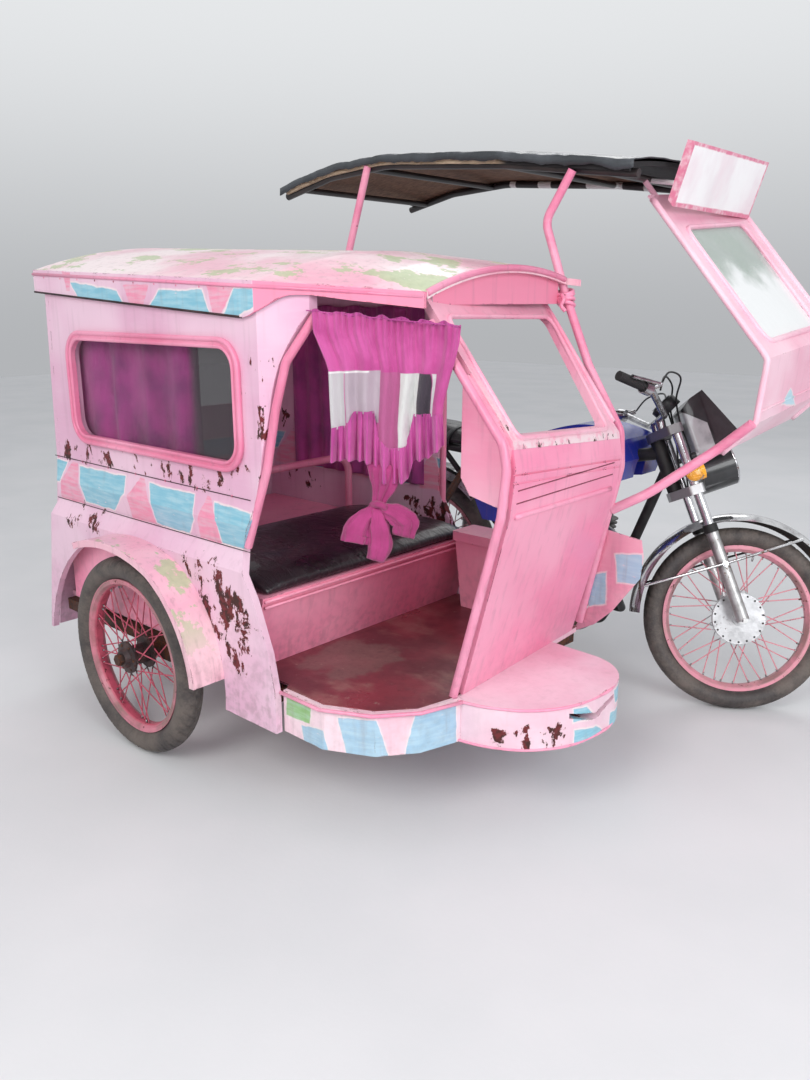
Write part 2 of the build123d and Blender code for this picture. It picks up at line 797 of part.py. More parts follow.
# Sidecar axle: a stub clamped under the outer rail, with its plate and end nut
with BuildPart() as sidecar_axle:
    rail_face = outer_rail_y - rail / 2 - seat_gap
    hub_inner = sidecar_wheel_y + 42 + seat_gap
    axle_start = Vector(sidecar_wheel_x, rail_face, sidecar_radius)
    rod(axle_start, (sidecar_wheel_x, -1545, sidecar_radius), 10)
    rod(axle_start, (sidecar_wheel_x, hub_inner, sidecar_radius), 19)
    block(
        (sidecar_wheel_x - 60, rail_face - 10, rail_z - 40),
        (sidecar_wheel_x + 60, rail_face, rail_z + 14),
    )
    hub_outer = sidecar_wheel_y - 52 - seat_gap
    with BuildSketch(Plane.XZ.offset(-hub_outer)) as nut:
        with Locations((sidecar_wheel_x, sidecar_radius)):
            RegularPolygon(17, 6)
    extrude(amount=15)
write(sidecar_axle, "sidecar_axle")

# Floor and the skirt round its open edge
floor_edge = [(-600, -1425), (-454, -1428), (-330, -1368), (-262, -1280), (-225, -1160)]
skirt_thickness = 10.0
rear_foot_x = -1787.0
with BuildPart() as sidecar_floor:
    with BuildSketch(Plane.XY.offset(floor_top - floor_thickness)):
        with BuildLine():
            Polyline(
                (rear_foot_x + wall + 1, side_y + wall + 25),
                (-600, side_y + wall + 25),
                (-600, -1425 + skirt_thickness),
                (-458, -1428 + skirt_thickness),
                (-337, -1368 + skirt_thickness),
                (-272, -1280 + 4),
                (-243, -1160),
                (-287, inner_y - wall - 1),
                (rear_foot_x + wall + 1, inner_y - wall - 1),
                close=True,
            )
        make_face()
    extrude(amount=floor_thickness)
    with BuildSketch(Plane.XY.offset(skirt_bottom)):
        with BuildLine():
            Polyline(*floor_edge)
            offset(amount=skirt_thickness, side=Side.LEFT)
        make_face()
    extrude(amount=floor_top - skirt_bottom)
write(sidecar_floor, "sidecar_floor")

# Roof: ruled sections of (x, outer y, outer z, crown z, inner z)
roof_sections = [
    (-1706, -1424, 1400, 1478, 1410),
    (-653, -1424, 1355, 1438, 1392),
    (-470, -1290, 1343, 1414, 1380),
    (-345, -1165, 1330, 1390, 1366),
]
crown_y = -850.0
roof_inner_y = -496.0


def roof_slab(bottom_drop, top_rise, clearance=0.0):
    """Adds the crowned roof between two offsets of its upper surface."""
    sections = []
    for x, outer_y, outer_z, crown_z, inner_z in roof_sections:
        with BuildSketch(Plane.YZ.offset(x)) as section:
            with BuildLine():
                low = ThreePointArc(
                    (outer_y, outer_z - bottom_drop - clearance),
                    (crown_y, crown_z - bottom_drop - clearance),
                    (roof_inner_y, inner_z - bottom_drop - clearance),
                )
                if top_rise > 0:
                    Polyline(low @ 1, (roof_inner_y, 1700), (outer_y, 1700), low @ 0)
                else:
                    high = ThreePointArc(
                        (outer_y, outer_z), (crown_y, crown_z), (roof_inner_y, inner_z)
                    )
                    Line(low @ 1, high @ 1)
                    Line(high @ 0, low @ 0)
            make_face()
        sections.append(section.sketch)
    loft(sections, ruled=True)


with BuildPart() as roof_panel:
    roof_slab(roof_thickness, 0)
    with BuildSketch(Plane.XY.offset(1200)):
        with BuildLine():
            Polyline((-345, -1170), (-393, roof_inner_y - 2), (-200, roof_inner_y - 2), close=True)
        make_face()
    extrude(amount=400, mode=Mode.SUBTRACT)
write(roof_panel, "roof_panel")

with BuildPart() as above_roof:
    roof_slab(roof_thickness, 1, seat_gap)
    block((-1900, -1500, 1480), (-1706, -400, 1700))
    block((-345, -1500, 1320), (-100, -400, 1700))

# Rear wall, sloping outwards to its foot, with a window
rear_top_x = -1655.0
rear_belt_x = -1693.0
rear_low_x = -1810.0
with BuildPart() as rear_panel:
    side_outline(
        [
            (rear_top_x, wall_top_z),
            (rear_belt_x, belt_z),
            (rear_low_x, skirt_bottom),
            (rear_low_x + wall, skirt_bottom),
            (rear_belt_x + wall, belt_z),
            (rear_top_x + wall, wall_top_z),
        ],
        inner_y,
        side_y,
    )
    with BuildSketch(Plane.YZ.offset(-1900)):
        with Locations(((side_y + inner_y) / 2, 1065)):
            RectangleRounded(560, 250, 50)
    extrude(amount=400, mode=Mode.SUBTRACT)
    add(above_roof.part, mode=Mode.SUBTRACT)
    add(sidecar_chassis.part, mode=Mode.SUBTRACT)
write(rear_panel, "rear_panel")

# Outer side: upper wall with its window, stripe band, shelf and lower panel with the wheel arch
window_low, window_high = 912.0, 1200.0
window_back, window_front = -1528.0, -742.0
window_corner = 55.0
window_width = window_front - window_back
window_height = window_high - window_low
bend_x = -653.0
taper = 0.73
with BuildPart() as upper_wall:
    with BuildSketch(Plane.XY.offset(belt_z)):
        with BuildLine():
            Polyline((-1850, side_y), (bend_x, side_y), (bend_x + 200, side_y + 200 * taper))
            offset(amount=wall, side=Side.LEFT)
        make_face()
    extrude(amount=wall_top_z - belt_z)
with BuildPart() as outer_side_panel:
    with BuildSketch(Plane.YZ.offset(-1850)):
        with BuildLine():
            Polyline(
                (side_y, belt_z),
                (side_y - 12, 755),
                (side_y, band_bottom_z),
                (side_y - ridge_out, ridge_z),
                (side_y - ridge_out, skirt_bottom),
                (side_y - ridge_out + wall, skirt_bottom),
                (side_y - ridge_out + wall, ridge_z - 6),
                (side_y + wall, band_bottom_z - 6),
                (side_y + wall, belt_z),
                close=True,
            )
        make_face()
    extrude(amount=1500)
    add(upper_wall.part)
    with BuildSketch(Plane.XZ.offset(1200)):
        with BuildLine():
            Polyline(
                (-550, wall_top_z),
                (rear_top_x + wall + seat_gap, wall_top_z),
                (rear_belt_x + wall + seat_gap, belt_z),
                (rear_low_x + wall + seat_gap, skirt_bottom),
                (-1776, skirt_bottom),
            )
            ThreePointArc((-1776, skirt_bottom), (-1635, 485), (-1393, 612))
            ThreePointArc((-1393, 612), (-1200, 645), (-1000, 606))
            ThreePointArc((-1000, 606), (-868, 480), (-815, skirt_bottom))
            Polyline((-815, skirt_bottom), (-601, skirt_bottom), (-601, 345), (-622, 444))
            Polyline((-622, 444), (-674, 575), (-744, 691), (-702, 773), (-660, 906), (-633, 1056))
            ThreePointArc((-633, 1056), (-606, 1180), (-550, 1286))
            Line((-550, 1286), (-550, wall_top_z))
        make_face()
    extrude(amount=300, mode=Mode.INTERSECT)
    with BuildSketch(Plane.XZ.offset(1200)):
        with Locations(((window_back + window_front) / 2, (window_low + window_high) / 2)):
            RectangleRounded(window_front - window_back, window_high - window_low, window_corner)
    extrude(amount=300, mode=Mode.SUBTRACT)
    add(above_roof.part, mode=Mode.SUBTRACT)
    add(sidecar_floor.part, mode=Mode.SUBTRACT)
    add(rear_panel.part, mode=Mode.SUBTRACT)
write(outer_side_panel, "outer_side_panel")

# Inner side, facing the motorcycle: rear quarter with a window, and a low wall ahead of it
inner_front_x = -843.0
low_wall_top = 560.0
with BuildPart() as inner_side_panel:
    side_outline(
        [
            (inner_front_x, wall_top_z),
            (rear_top_x + wall + seat_gap, wall_top_z),
            (rear_belt_x + wall + seat_gap, belt_z),
            (rear_low_x + wall + 24, chassis_top + seat_gap),
            (-318, chassis_top + seat_gap),
            (-300, low_wall_top),
            (-775, low_wall_top),
            (inner_front_x, 690),
        ],
        inner_y,
        inner_y - wall,
    )
    with BuildSketch(Plane.XZ.offset(-inner_y - 100)):
        with Locations(((window_back - 60 + inner_front_x - 60) / 2, (window_low + window_high) / 2)):
            RectangleRounded(560, window_high - window_low, window_corner)
    extrude(amount=300, mode=Mode.SUBTRACT)
    add(above_roof.part, mode=Mode.SUBTRACT)
    add(rear_panel.part, mode=Mode.SUBTRACT)
    add(sidecar_chassis.part, mode=Mode.SUBTRACT)
write(inner_side_panel, "inner_side_panel")

# Front: a sheet leaning forward to the belt, then the windscreen frame leaning back to the roof
front_run = Vector(-51, 580, -44)
front_edge_y = -1140.0
sill_z = 985.0
front_profile = [
    (-265, 250),
    (-111, 829),
    (-99, 940),
    (-110, 1003),
    (-330, 1267),
    (-413, 1367),
]


def along_front(points, mode=Mode.ADD, start=front_edge_y, run=front_run):
    """Extrudes an outline of (x, z) points across the skewed front."""
    with BuildSketch(Plane.XZ.offset(-start)) as outline:
        with BuildLine():
            Polyline(*points, close=True)
        make_face()
    extrude(outline.sketch, amount=run.length, dir=run, mode=mode)


front_back = [(-285, 250), (-131, 829), (-119, 936), (-128, 994), (-345, 1254), (-428, 1354)]
with BuildPart() as front_panel:
    along_front(front_profile[:4] + front_back[3::-1])
    along_front([(-300, sill_z), (100, sill_z), (100, 1100), (-300, 1100)], mode=Mode.SUBTRACT)
    block((-500, -1300, 100), (200, -300, floor_top), mode=Mode.SUBTRACT)
    for groove_z in (905, 925):
        groove = [(-105, groove_z), (-95, groove_z), (-95, groove_z + 5), (-105, groove_z + 5)]
        along_front(groove, mode=Mode.SUBTRACT)
write(front_panel, "front_panel")

with BuildPart() as windscreen_frame:
    along_front(front_profile[2:] + front_back[:1:-1], run=front_run * 1.11)
    along_front(
        [(-300, 800), (100, 800), (100, sill_z + seat_gap), (-300, sill_z + seat_gap)],
        mode=Mode.SUBTRACT,
        run=front_run * 1.2,
    )
    with BuildSketch(Plane.YZ.offset(-600)):
        with BuildLine():
            Polyline((-562, 900), (-560, 985), (-505, 1367), (-505, 1500), (-400, 1500), (-400, 900))
            Line((-400, 900), (-562, 900))
        make_face()
    extrude(amount=700, mode=Mode.SUBTRACT)
    with BuildSketch(Plane.YZ.offset(-600)):
        with BuildLine():
            Polyline((-1106, 1012), (-1094, 1268), (-545, 1258), (-630, 980), close=True)
        make_face()
        fillet(vertices(), 22)
    extrude(amount=700, mode=Mode.SUBTRACT)
    with BuildSketch(Plane.XZ.offset(-front_edge_y + 12)):
        with BuildLine():
            Polyline((-119, 846), (-112, 985), (-140, 1030), (-236, 1146), (-247, 1120), (-248, 905))
            Polyline((-248, 905), (-222, 866), (-145, 849), (-119, 846))
        make_face()
    extrude(amount=-11.9)
    add(above_roof.part, mode=Mode.SUBTRACT)
write(windscreen_frame, "windscreen_frame")

# Roof trim: the soffit that closes the roof's front end above the windscreen, and the valance
# along its outer edge, with a curved step in its lower edge
with BuildPart() as soffit:
    along_front(
        [(-372, 1300), (-372 + sheet, 1300), (-372 + sheet, 1500), (-372, 1500)],
        start=-1120.0,
        run=Vector(-45, 610, 0),
    )
    add(above_roof.part, mode=Mode.SUBTRACT)
    add(windscreen_frame.part, mode=Mode.SUBTRACT)
with BuildPart() as roof_trim:
    with BuildSketch(Plane.XY.offset(1200)):
        with BuildLine():
            Polyline(*[(x, outer_y - seat_gap) for x, outer_y, *rest in roof_sections])
            offset(amount=sheet, side=Side.RIGHT)
        make_face()
    extrude(amount=300)
    with BuildSketch(Plane.XZ.offset(1000)):
        with BuildLine():
            Polyline((-345, 1330), (-653, 1355), (-1706, 1400), (-1706, 1332), (-700, 1271))
            Spline((-700, 1271), (-640, 1290), (-600, 1316), (-540, 1322), tangents=[(1, 0.05), (1, -0.05)])
            Polyline((-540, 1322), (-345, 1292), (-345, 1330))
        make_face()
    extrude(amount=500, mode=Mode.INTERSECT)
    add(roof_panel.part, mode=Mode.SUBTRACT)
    add(outer_side_panel.part, mode=Mode.SUBTRACT)
    add(soffit.part)
write(roof_trim, "roof_trim")

# Nose step: a shallow box with a half-round front, ahead of the front panel
with BuildPart() as nose_step:
    with BuildSketch(Plane.XY.offset(skirt_bottom)):
        with BuildLine():
            Line((-276, -682), (-242, -1162))
            Line((-242, -1162), (-222, -1166))
            ThreePointArc((-222, -1166), (-40, -1066), (16, -870))
            ThreePointArc((16, -870), (-18, -748), (-120, -690))
            Line((-120, -690), (-276, -682))
        make_face()
    extrude(amount=floor_top - skirt_bottom)
    with BuildSketch(Plane.YZ.offset(-60)):
        with BuildLine():
            Polyline((-1010, 322), (-920, 300), (-830, 322), (-830, 308), (-920, 282), (-1010, 308))
            Line((-1010, 308), (-1010, 322))
        make_face()
    extrude(amount=120, mode=Mode.SUBTRACT)
    add(sidecar_floor.part, mode=Mode.SUBTRACT)
    add(front_panel.part, mode=Mode.SUBTRACT)
    add(sidecar_chassis.part, mode=Mode.SUBTRACT)
write(nose_step, "nose_step")

# Seat box: kick panel, sides and top in plywood and sheet, open underneath
seat_box_top = 560.0
seat_front_top_x = -700.0
board = 16.0
with BuildPart() as seat_box:
    side_outline(
        [(-755, floor_top), (seat_front_top_x, seat_box_top), (-1700, seat_box_top), (-1700, floor_top)],
        inner_y - wall - 2,
        side_y + wall + 2,
    )
    side_outline(
        [
            (-755 - board, floor_top - 1),
            (seat_front_top_x - board, seat_box_top - board),
            (-1700 + board, seat_box_top - board),
            (-1700 + board, floor_top - 1),
        ],
        inner_y - wall - 2 - board,
        side_y + wall + 2 + board,
        mode=Mode.SUBTRACT,
    )
    add(rear_panel.part, mode=Mode.SUBTRACT)
    add(outer_side_panel.part, mode=Mode.SUBTRACT)
    add(inner_side_panel.part, mode=Mode.SUBTRACT)
write(seat_box, "seat_box")

# Bench cushion
cushion_height = 58.0
with BuildPart() as seat_cushion:
    block(
        (-1232, side_y + wall + 10, seat_box_top + seat_gap),
        (seat_front_top_x + 4, inner_y - wall - 10, seat_box_top + cushion_height),
    )
    fillet(edges().filter_by(Axis.Z), 30)
    fillet(edges().group_by(Axis.Z)[-1], 22)
write(seat_cushion, "seat_cushion")

# Lidded box that serves as a small extra seat at the inner side
jump_seat_top = 600.0
lid_thickness = 30.0
with BuildPart() as jump_seat_box:
    with BuildSketch(Plane.XY.offset(floor_top)):
        with Locations((-606, -575)):
            Rectangle(112, 84)
    with BuildSketch(Plane.XY.offset(jump_seat_top - lid_thickness)):
        with Locations((-611, -577)):
            Rectangle(142, 98)
    loft()
    with BuildSketch(Plane.XY.offset(jump_seat_top - lid_thickness)):
        with Locations((-611, -580)):
            RectangleRounded(156, 110, 8)
    extrude(amount=lid_thickness)
write(jump_seat_box, "jump_seat_box")

# Mudguard of the sidecar wheel, following the arch of the body
guard_inner_y = side_y - ridge_out - seat_gap
guard_outer_y = -1548.0
with BuildPart() as sidecar_mudguard:
    with BuildSketch(Plane.XZ.offset(-guard_inner_y)):
        with BuildLine():
            ThreePointArc((-1393, 617), (-1200, 650), (-998, 610))
            ThreePointArc((-998, 610), (-868, 490), (-812, 322))
            offset(amount=3, side=Side.RIGHT)
        make_face()
    extrude(amount=guard_inner_y - guard_outer_y)
    with BuildSketch(Plane.XZ.offset(-guard_outer_y)):
        with BuildLine():
            ThreePointArc((-1393, 617), (-1200, 650), (-998, 610))
            ThreePointArc((-998, 610), (-868, 490), (-812, 322))
            offset(amount=20, side=Side.RIGHT)
        make_face()
    extrude(amount=4)
write(sidecar_mudguard, "sidecar_mudguard")

# Raised moulding round the side window
pane_width = window_width - 2 * seat_gap
pane_height = window_height - 2 * seat_gap
with BuildPart() as side_window_frame:
    with BuildSketch(Plane.XZ.offset(-side_y + seat_gap)):
        with Locations(((window_back + window_front) / 2, (window_low + window_high) / 2)):
            RectangleRounded(window_width + 44, window_height + 44, window_corner + 22)
            RectangleRounded(
                window_width - 8, window_height - 8, window_corner - 4, mode=Mode.SUBTRACT
            )
    extrude(amount=9)
    with BuildSketch(Plane.XZ.offset(-side_y + seat_gap)):
        with Locations(((window_back + window_front) / 2, (window_low + window_high) / 2)):
            RectangleRounded(pane_width, pane_height, window_corner - seat_gap)
            RectangleRounded(
                window_width - 8, window_height - 8, window_corner - 4, mode=Mode.SUBTRACT
            )
    extrude(amount=-6)
write(side_window_frame, "side_window_frame")


# Cabin tubes: pillars of the door openings and the rail behind the bench
pillar = 11.0
pillar_y = front_edge_y - 12 - pillar - seat_gap
with BuildPart() as cabin_tubes:
    bent_tube(
        [
            (-252, pillar_y, floor_top + seat_gap),
            (-120, pillar_y, 829),
            (-108, pillar_y, 942),
            (-121, pillar_y, 1000),
            (-337, pillar_y, 1262),
        ],
        [60, 60, 60],
        pillar,
    )
    bent_tube(
        [
            (-744 + 8, side_y + 10, band_bottom_z + 6),
            (-648, side_y + 10, 906),
            (-621, side_y + 22, 1056),
            (-596, side_y + 38, 1170),
            (-540, side_y + 84, 1276),
        ],
        [60, 60, 60],
        pillar,
    )
    door_edge_x = inner_front_x + pillar + seat_gap
    rod((door_edge_x, inner_y - 10, 600), (door_edge_x, inner_y - 10, 1420), 10)
    bent_tube(
        [
            (-1250, side_y + wall + 24, seat_box_top + seat_gap),
            (-1250, side_y + wall + 24, 760),
            (-1250, inner_y - wall - 24, 766),
            (-1250, inner_y - wall - 24, seat_box_top + seat_gap),
        ],
        [60, 60],
        13,
    )
    add(outer_side_panel.part, mode=Mode.SUBTRACT)
    add(above_roof.part, mode=Mode.SUBTRACT)
    add(windscreen_frame.part, mode=Mode.SUBTRACT)
    add(inner_side_panel.part, mode=Mode.SUBTRACT)
    add(nose_step.part, mode=Mode.SUBTRACT)
    add(sidecar_floor.part, mode=Mode.SUBTRACT)
write(cabin_tubes, "cabin_tubes")

# Canopy over the rider: stations of (x, upper z) along it
canopy_stations = [
    (-1650, 1716),
    (-1420, 1764),
    (-1147, 1780),
    (-657, 1738),
    (-215, 1676),
]
canopy_near_y = -480.0
canopy_far_y = 285.0
canopy_crown_y = -100.0
canopy_rise = 26.0
canopy_thickness = 26.0
with BuildPart() as canopy_roof:
    canopy_sections = []
    for x, top_z in canopy_stations:
        with BuildSketch(Plane.YZ.offset(x)) as section:
            with BuildLine():
                low_z = top_z - canopy_thickness
                top_crown = (canopy_crown_y, top_z + canopy_rise)
                low_crown = (canopy_crown_y, low_z + canopy_rise)
                top = ThreePointArc((canopy_near_y, top_z), top_crown, (canopy_far_y, top_z))
                under = ThreePointArc((canopy_near_y, low_z), low_crown, (canopy_far_y, low_z))
                Line(top @ 0, under @ 0)
                Line(top @ 1, under @ 1)
            make_face()
        canopy_sections.append(section.sketch)
    loft(canopy_sections, ruled=True)
write(canopy_roof, "canopy_roof")

# Canopy frame: posts on the sidecar's inner side, rails and cross bars under the canopy
tube = 12.5
post_y = inner_y + tube + seat_gap
rail_drop = canopy_thickness + tube + seat_gap
with BuildPart() as canopy_frame:
    bent_tube(
        [
            (-298, post_y, floor_top + 5),
            (-190, post_y, 850),
            (-198, post_y, 950),
            (-312, post_y, 1130),
            (-402, post_y, 1330),
            (-478, post_y, 1530),
            (-408, post_y + 20, 1703 - rail_drop),
        ],
        [80, 60, 100, 200, 60],
        tube,
    )
    bent_tube(
        [(-1299, post_y, 880), (-1299, post_y, 1440), (-1216, post_y + 25, 1786 - rail_drop)], [120], tube
    )
    for rail_y in (canopy_near_y + 38, canopy_far_y - 38):
        rail_points = [(x, rail_y, top_z - rail_drop + 4) for x, top_z in canopy_stations]
        bent_tube(rail_points, [200, 400, 600], tube)
    for cross_x, cross_z in ((-300, 1688), (-657, 1738), (-1216, 1776), (-1560, 1735)):
        rod(
            (cross_x, canopy_near_y + 38, cross_z - rail_drop + 2),
            (cross_x, canopy_far_y - 38, cross_z - rail_drop + 2),
            tube - 2,
        )
    bent_tube(
        [(-212, post_y + 4, 716), (-120, post_y + 44, 772), (20, -320, 900), (112, -318, 982)],
        [200, 60],
        14,
    )
    add(canopy_roof.part, mode=Mode.SUBTRACT)
    add(roof_panel.part, mode=Mode.SUBTRACT)
    add(inner_side_panel.part, mode=Mode.SUBTRACT)
    add(sidecar_chassis.part, mode=Mode.SUBTRACT)
    add(sidecar_floor.part, mode=Mode.SUBTRACT)
write(canopy_frame, "canopy_frame")

# Windshield: a folded sheet with a window, a little higher on its far side
shield_near_y = -300.0
shield_width = 550.0
shield_roll = 5.0
shield_rise = sin(radians(shield_roll)) / cos(radians(shield_roll))
shield_run = Vector(0, shield_width, shield_width * shield_rise)
shield_profile = [(-256, 1601), (128, 1156), (112, 978), (21, 884)]
with BuildPart() as windshield_panel:
    along_front(
        shield_profile + [(17, 888), (106, 981), (121, 1156), (-260, 1597)],
        start=shield_near_y,
        run=shield_run,
    )
    with BuildSketch(Plane.YZ.offset(-400)):
        with BuildLine():
            Polyline((-222, 1204), (-222, 1506), (172, 1540), (172, 1238), close=True)
        make_face()
        fillet(vertices(), 30)
    extrude(amount=700, mode=Mode.SUBTRACT)
    for strut_y in (-250, 180):
        strut_z = 1592 + (strut_y - shield_near_y) * shield_rise
        rod((-256, strut_y, strut_z), (-300, strut_y, 1688 - rail_drop), 8)
    add(canopy_frame.part, mode=Mode.SUBTRACT)
write(windshield_panel, "windshield_panel")

# Panes of the side window and of the windshield
pane = 4.0
pane_near_y = -250.0
with BuildPart() as window_glass:
    pane_lift = (pane_near_y - shield_near_y) * shield_rise
    pane_profile = [(-205, 1533.6), (103, 1176.6), (100.6, 1174.6), (-207.4, 1531.6)]
    along_front(
        [(x, z + pane_lift) for x, z in pane_profile],
        start=pane_near_y,
        run=Vector(0, 450, 450 * shield_rise),
    )
    add(windshield_panel.part, mode=Mode.SUBTRACT)
    with BuildSketch(Plane.XZ.offset(-side_y - 7)):
        with Locations(((window_back + window_front) / 2, (window_low + window_high) / 2)):
            RectangleRounded(pane_width, pane_height, window_corner - seat_gap)
    extrude(amount=-pane)
write(window_glass, "window_glass")

# Blank sign board over the windshield
with BuildPart() as sign_board:
    side_outline([(-180, 1565), (-130, 1730), (-150, 1736), (-196, 1584)], 240, -300)
    for strut_y in (-220, 150):
        rod((-176, strut_y, 1630), (-300, strut_y, 1650), 7)
    add(canopy_roof.part, mode=Mode.SUBTRACT)
    add(canopy_frame.part, mode=Mode.SUBTRACT)
    add(windshield_panel.part, mode=Mode.SUBTRACT)
write(sign_board, "sign_board")

# Torn leg guard hanging below the brace
guard_sheet_y = post_y + tube + 0.5
with BuildPart() as leg_guard:
    side_outline(
        [
            (-232, 652),
            (-115, 639),
            (-105, 590),
            (-112, 522),
            (-196, 402),
            (-254, 346),
            (-330, 303),
            (-278, 395),
            (-265, 511),
            (-261, 612),
        ],
        guard_sheet_y + 3,
        guard_sheet_y,
    )
write(leg_guard, "leg_guard")

# Curtain gathered in the front of the door opening
with BuildPart() as door_curtain:
    with BuildSketch(Plane((-545, -1338, 1275), x_dir=(0.78, 0.62, 0), z_dir=(0.62, -0.78, 0))):
        with BuildLine():
            Polyline((0, 0), (270, -10), (265, -120), (210, -300), (190, -560), (150, -560))
            Polyline((150, -560), (90, -330), (20, -320), (10, -120), (0, 0))
        make_face()
    extrude(amount=14, both=True)
    add(cabin_tubes.part, mode=Mode.SUBTRACT)
    add(windscreen_frame.part, mode=Mode.SUBTRACT)
    add(outer_side_panel.part, mode=Mode.SUBTRACT)
    add(above_roof.part, mode=Mode.SUBTRACT)
write(door_curtain, "door_curtain")

# Drapes behind the side window and along the rear wall
drape = 9.0
with BuildPart() as window_curtains:
    outer_face = side_y + wall + seat_gap
    inner_face = inner_y - wall - seat_gap
    block((-1500, outer_face, 760), (-960, outer_face + drape, 1260))
    block((-1560, inner_face - drape, 700), (-900, inner_face, 1290))
write(window_curtains, "window_curtains")
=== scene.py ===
"""Looks of the sidecar motorcycle, in metres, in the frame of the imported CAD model."""

import math

import bmesh
import bpy
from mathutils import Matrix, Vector, noise
from mathutils.bvhtree import BVHTree


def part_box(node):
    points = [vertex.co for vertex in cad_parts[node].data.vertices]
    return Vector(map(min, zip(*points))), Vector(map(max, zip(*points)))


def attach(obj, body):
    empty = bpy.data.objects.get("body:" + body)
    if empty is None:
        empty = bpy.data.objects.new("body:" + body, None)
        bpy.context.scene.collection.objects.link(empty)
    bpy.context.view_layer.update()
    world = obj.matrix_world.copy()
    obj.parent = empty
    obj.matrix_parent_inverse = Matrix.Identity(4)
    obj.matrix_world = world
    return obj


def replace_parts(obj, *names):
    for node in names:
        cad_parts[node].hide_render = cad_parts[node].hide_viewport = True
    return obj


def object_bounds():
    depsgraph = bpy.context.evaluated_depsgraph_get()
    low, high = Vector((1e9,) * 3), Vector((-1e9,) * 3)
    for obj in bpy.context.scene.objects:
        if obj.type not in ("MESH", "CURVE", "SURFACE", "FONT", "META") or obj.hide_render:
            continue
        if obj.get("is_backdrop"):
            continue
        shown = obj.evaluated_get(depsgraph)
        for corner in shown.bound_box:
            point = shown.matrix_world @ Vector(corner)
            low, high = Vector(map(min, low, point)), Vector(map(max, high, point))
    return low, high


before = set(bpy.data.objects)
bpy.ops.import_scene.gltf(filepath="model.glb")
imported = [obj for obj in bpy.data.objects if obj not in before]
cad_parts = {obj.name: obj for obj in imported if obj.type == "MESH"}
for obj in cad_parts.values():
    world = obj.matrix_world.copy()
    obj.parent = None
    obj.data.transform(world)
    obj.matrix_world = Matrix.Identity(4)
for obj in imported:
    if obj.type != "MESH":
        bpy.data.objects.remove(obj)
bounds_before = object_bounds()

# The place of the layout that lies over the frame's origin
MIDDLE = (-781.2, -633.65)


def at(x, y, z):
    """A point of the part's own layout, in millimetres, as a place in the frame."""
    return Vector(((x - MIDDLE[0]) / 1000, (y - MIDDLE[1]) / 1000, z / 1000))


def x_of(x):
    """A layout x as an x of the frame."""
    return at(x, 0, 0).x


def y_of(y):
    """A layout y as a y of the frame."""
    return at(0, y, 0).y


LEFT = Vector((0, 1, 0))
UP = Vector((0, 0, 1))

# Directions of the steering, parked on its left stop
STEER_AXIS = Vector((-0.43209, 0, 0.90183))
FORK_FORWARD = Vector((0.71065, 0.61566, 0.34049))
FORK_LEFT = Vector((-0.55522, 0.78801, -0.26602))
STEER_BASE = Vector((0.73701, 0.63365, 0.27410))
FRONT_CENTRE = Vector((0.77183, 0.66382, 0.29078))
REAR_CENTRE = at(-1280, 0, 302)
SIDECAR_CENTRE = at(-1193, -1485, 298)

# Centre, axle and one direction outwards of each wheel
WHEELS = {
    "front": (FRONT_CENTRE, FORK_LEFT, STEER_AXIS),
    "rear": (REAR_CENTRE, LEFT, UP),
    "sidecar": (SIDECAR_CENTRE, LEFT, UP),
}


def fork(forward, sideways, height):
    """A point in the turned fork's own frame, in millimetres."""
    return STEER_BASE + (
        FORK_FORWARD * forward + FORK_LEFT * sideways + STEER_AXIS * height
    ) / 1000


def wander(x, y, z):
    """Smooth noise between about -1 and 1."""
    return noise.noise(Vector((x, y, z)))


def angles(count):
    """Evenly spaced angles round a circle."""
    return [2 * math.pi * k / count for k in range(count)]


# Materials


def linear(code):
    """A web colour as linear RGBA."""
    parts = [int(code[i : i + 2], 16) / 255 for i in (0, 2, 4)]
    return [c / 12.92 if c <= 0.04045 else ((c + 0.055) / 1.055) ** 2.4 for c in parts] + [1.0]


class Nodes:
    """A node tree of a material or of the world, built node by node."""

    def __init__(self, owner, coordinate):
        owner.use_nodes = True
        self.tree = owner.node_tree
        self.tree.nodes.clear()
        self.place = self.node("ShaderNodeTexCoord").outputs[coordinate]
        split = self.node("ShaderNodeSeparateXYZ")
        self.put(split.inputs[0], self.place)
        self.x, self.y, self.z = split.outputs

    def node(self, kind, **settings):
        made = self.tree.nodes.new(kind)
        for key, value in settings.items():
            setattr(made, key, value)
        return made

    def put(self, socket, value):
        if isinstance(value, bpy.types.NodeSocket):
            self.tree.links.new(value, socket)
        else:
            socket.default_value = value

    def math(self, operation, *values):
        made = self.node("ShaderNodeMath", operation=operation)
        for socket, value in zip(made.inputs, values):
            self.put(socket, value)
        return made.outputs[0]

    def plus(self, first, second):
        return self.math("ADD", first, second)

    def minus(self, first, second):
        return self.math("SUBTRACT", first, second)

    def times(self, first, second):
        return self.math("MULTIPLY", first, second)

    def span(self, value, low, high, start=0.0, end=1.0):
        """Maps value smoothly from low..high to start..end."""
        made = self.node("ShaderNodeMapRange", interpolation_type="SMOOTHSTEP")
        for socket, item in zip(made.inputs, (value, low, high, start, end)):
            self.put(socket, item)
        return made.outputs[0]

    def band(self, value, low, high, soft):
        """1 between low and high, with soft ends inside them."""
        return self.times(self.span(value, low, low + soft), self.span(value, high, high - soft))

    def mix(self, factor, first, second):
        made = self.node("ShaderNodeMix", data_type="RGBA")
        for index, item in ((0, factor), (6, first), (7, second)):
            self.put(made.inputs[index], linear(item) if isinstance(item, str) else item)
        return made.outputs[2]

    def any_of(self, masks):
        joined = masks[0]
        for mask in masks[1:]:
            joined = self.math("MAXIMUM", joined, mask)
        return joined


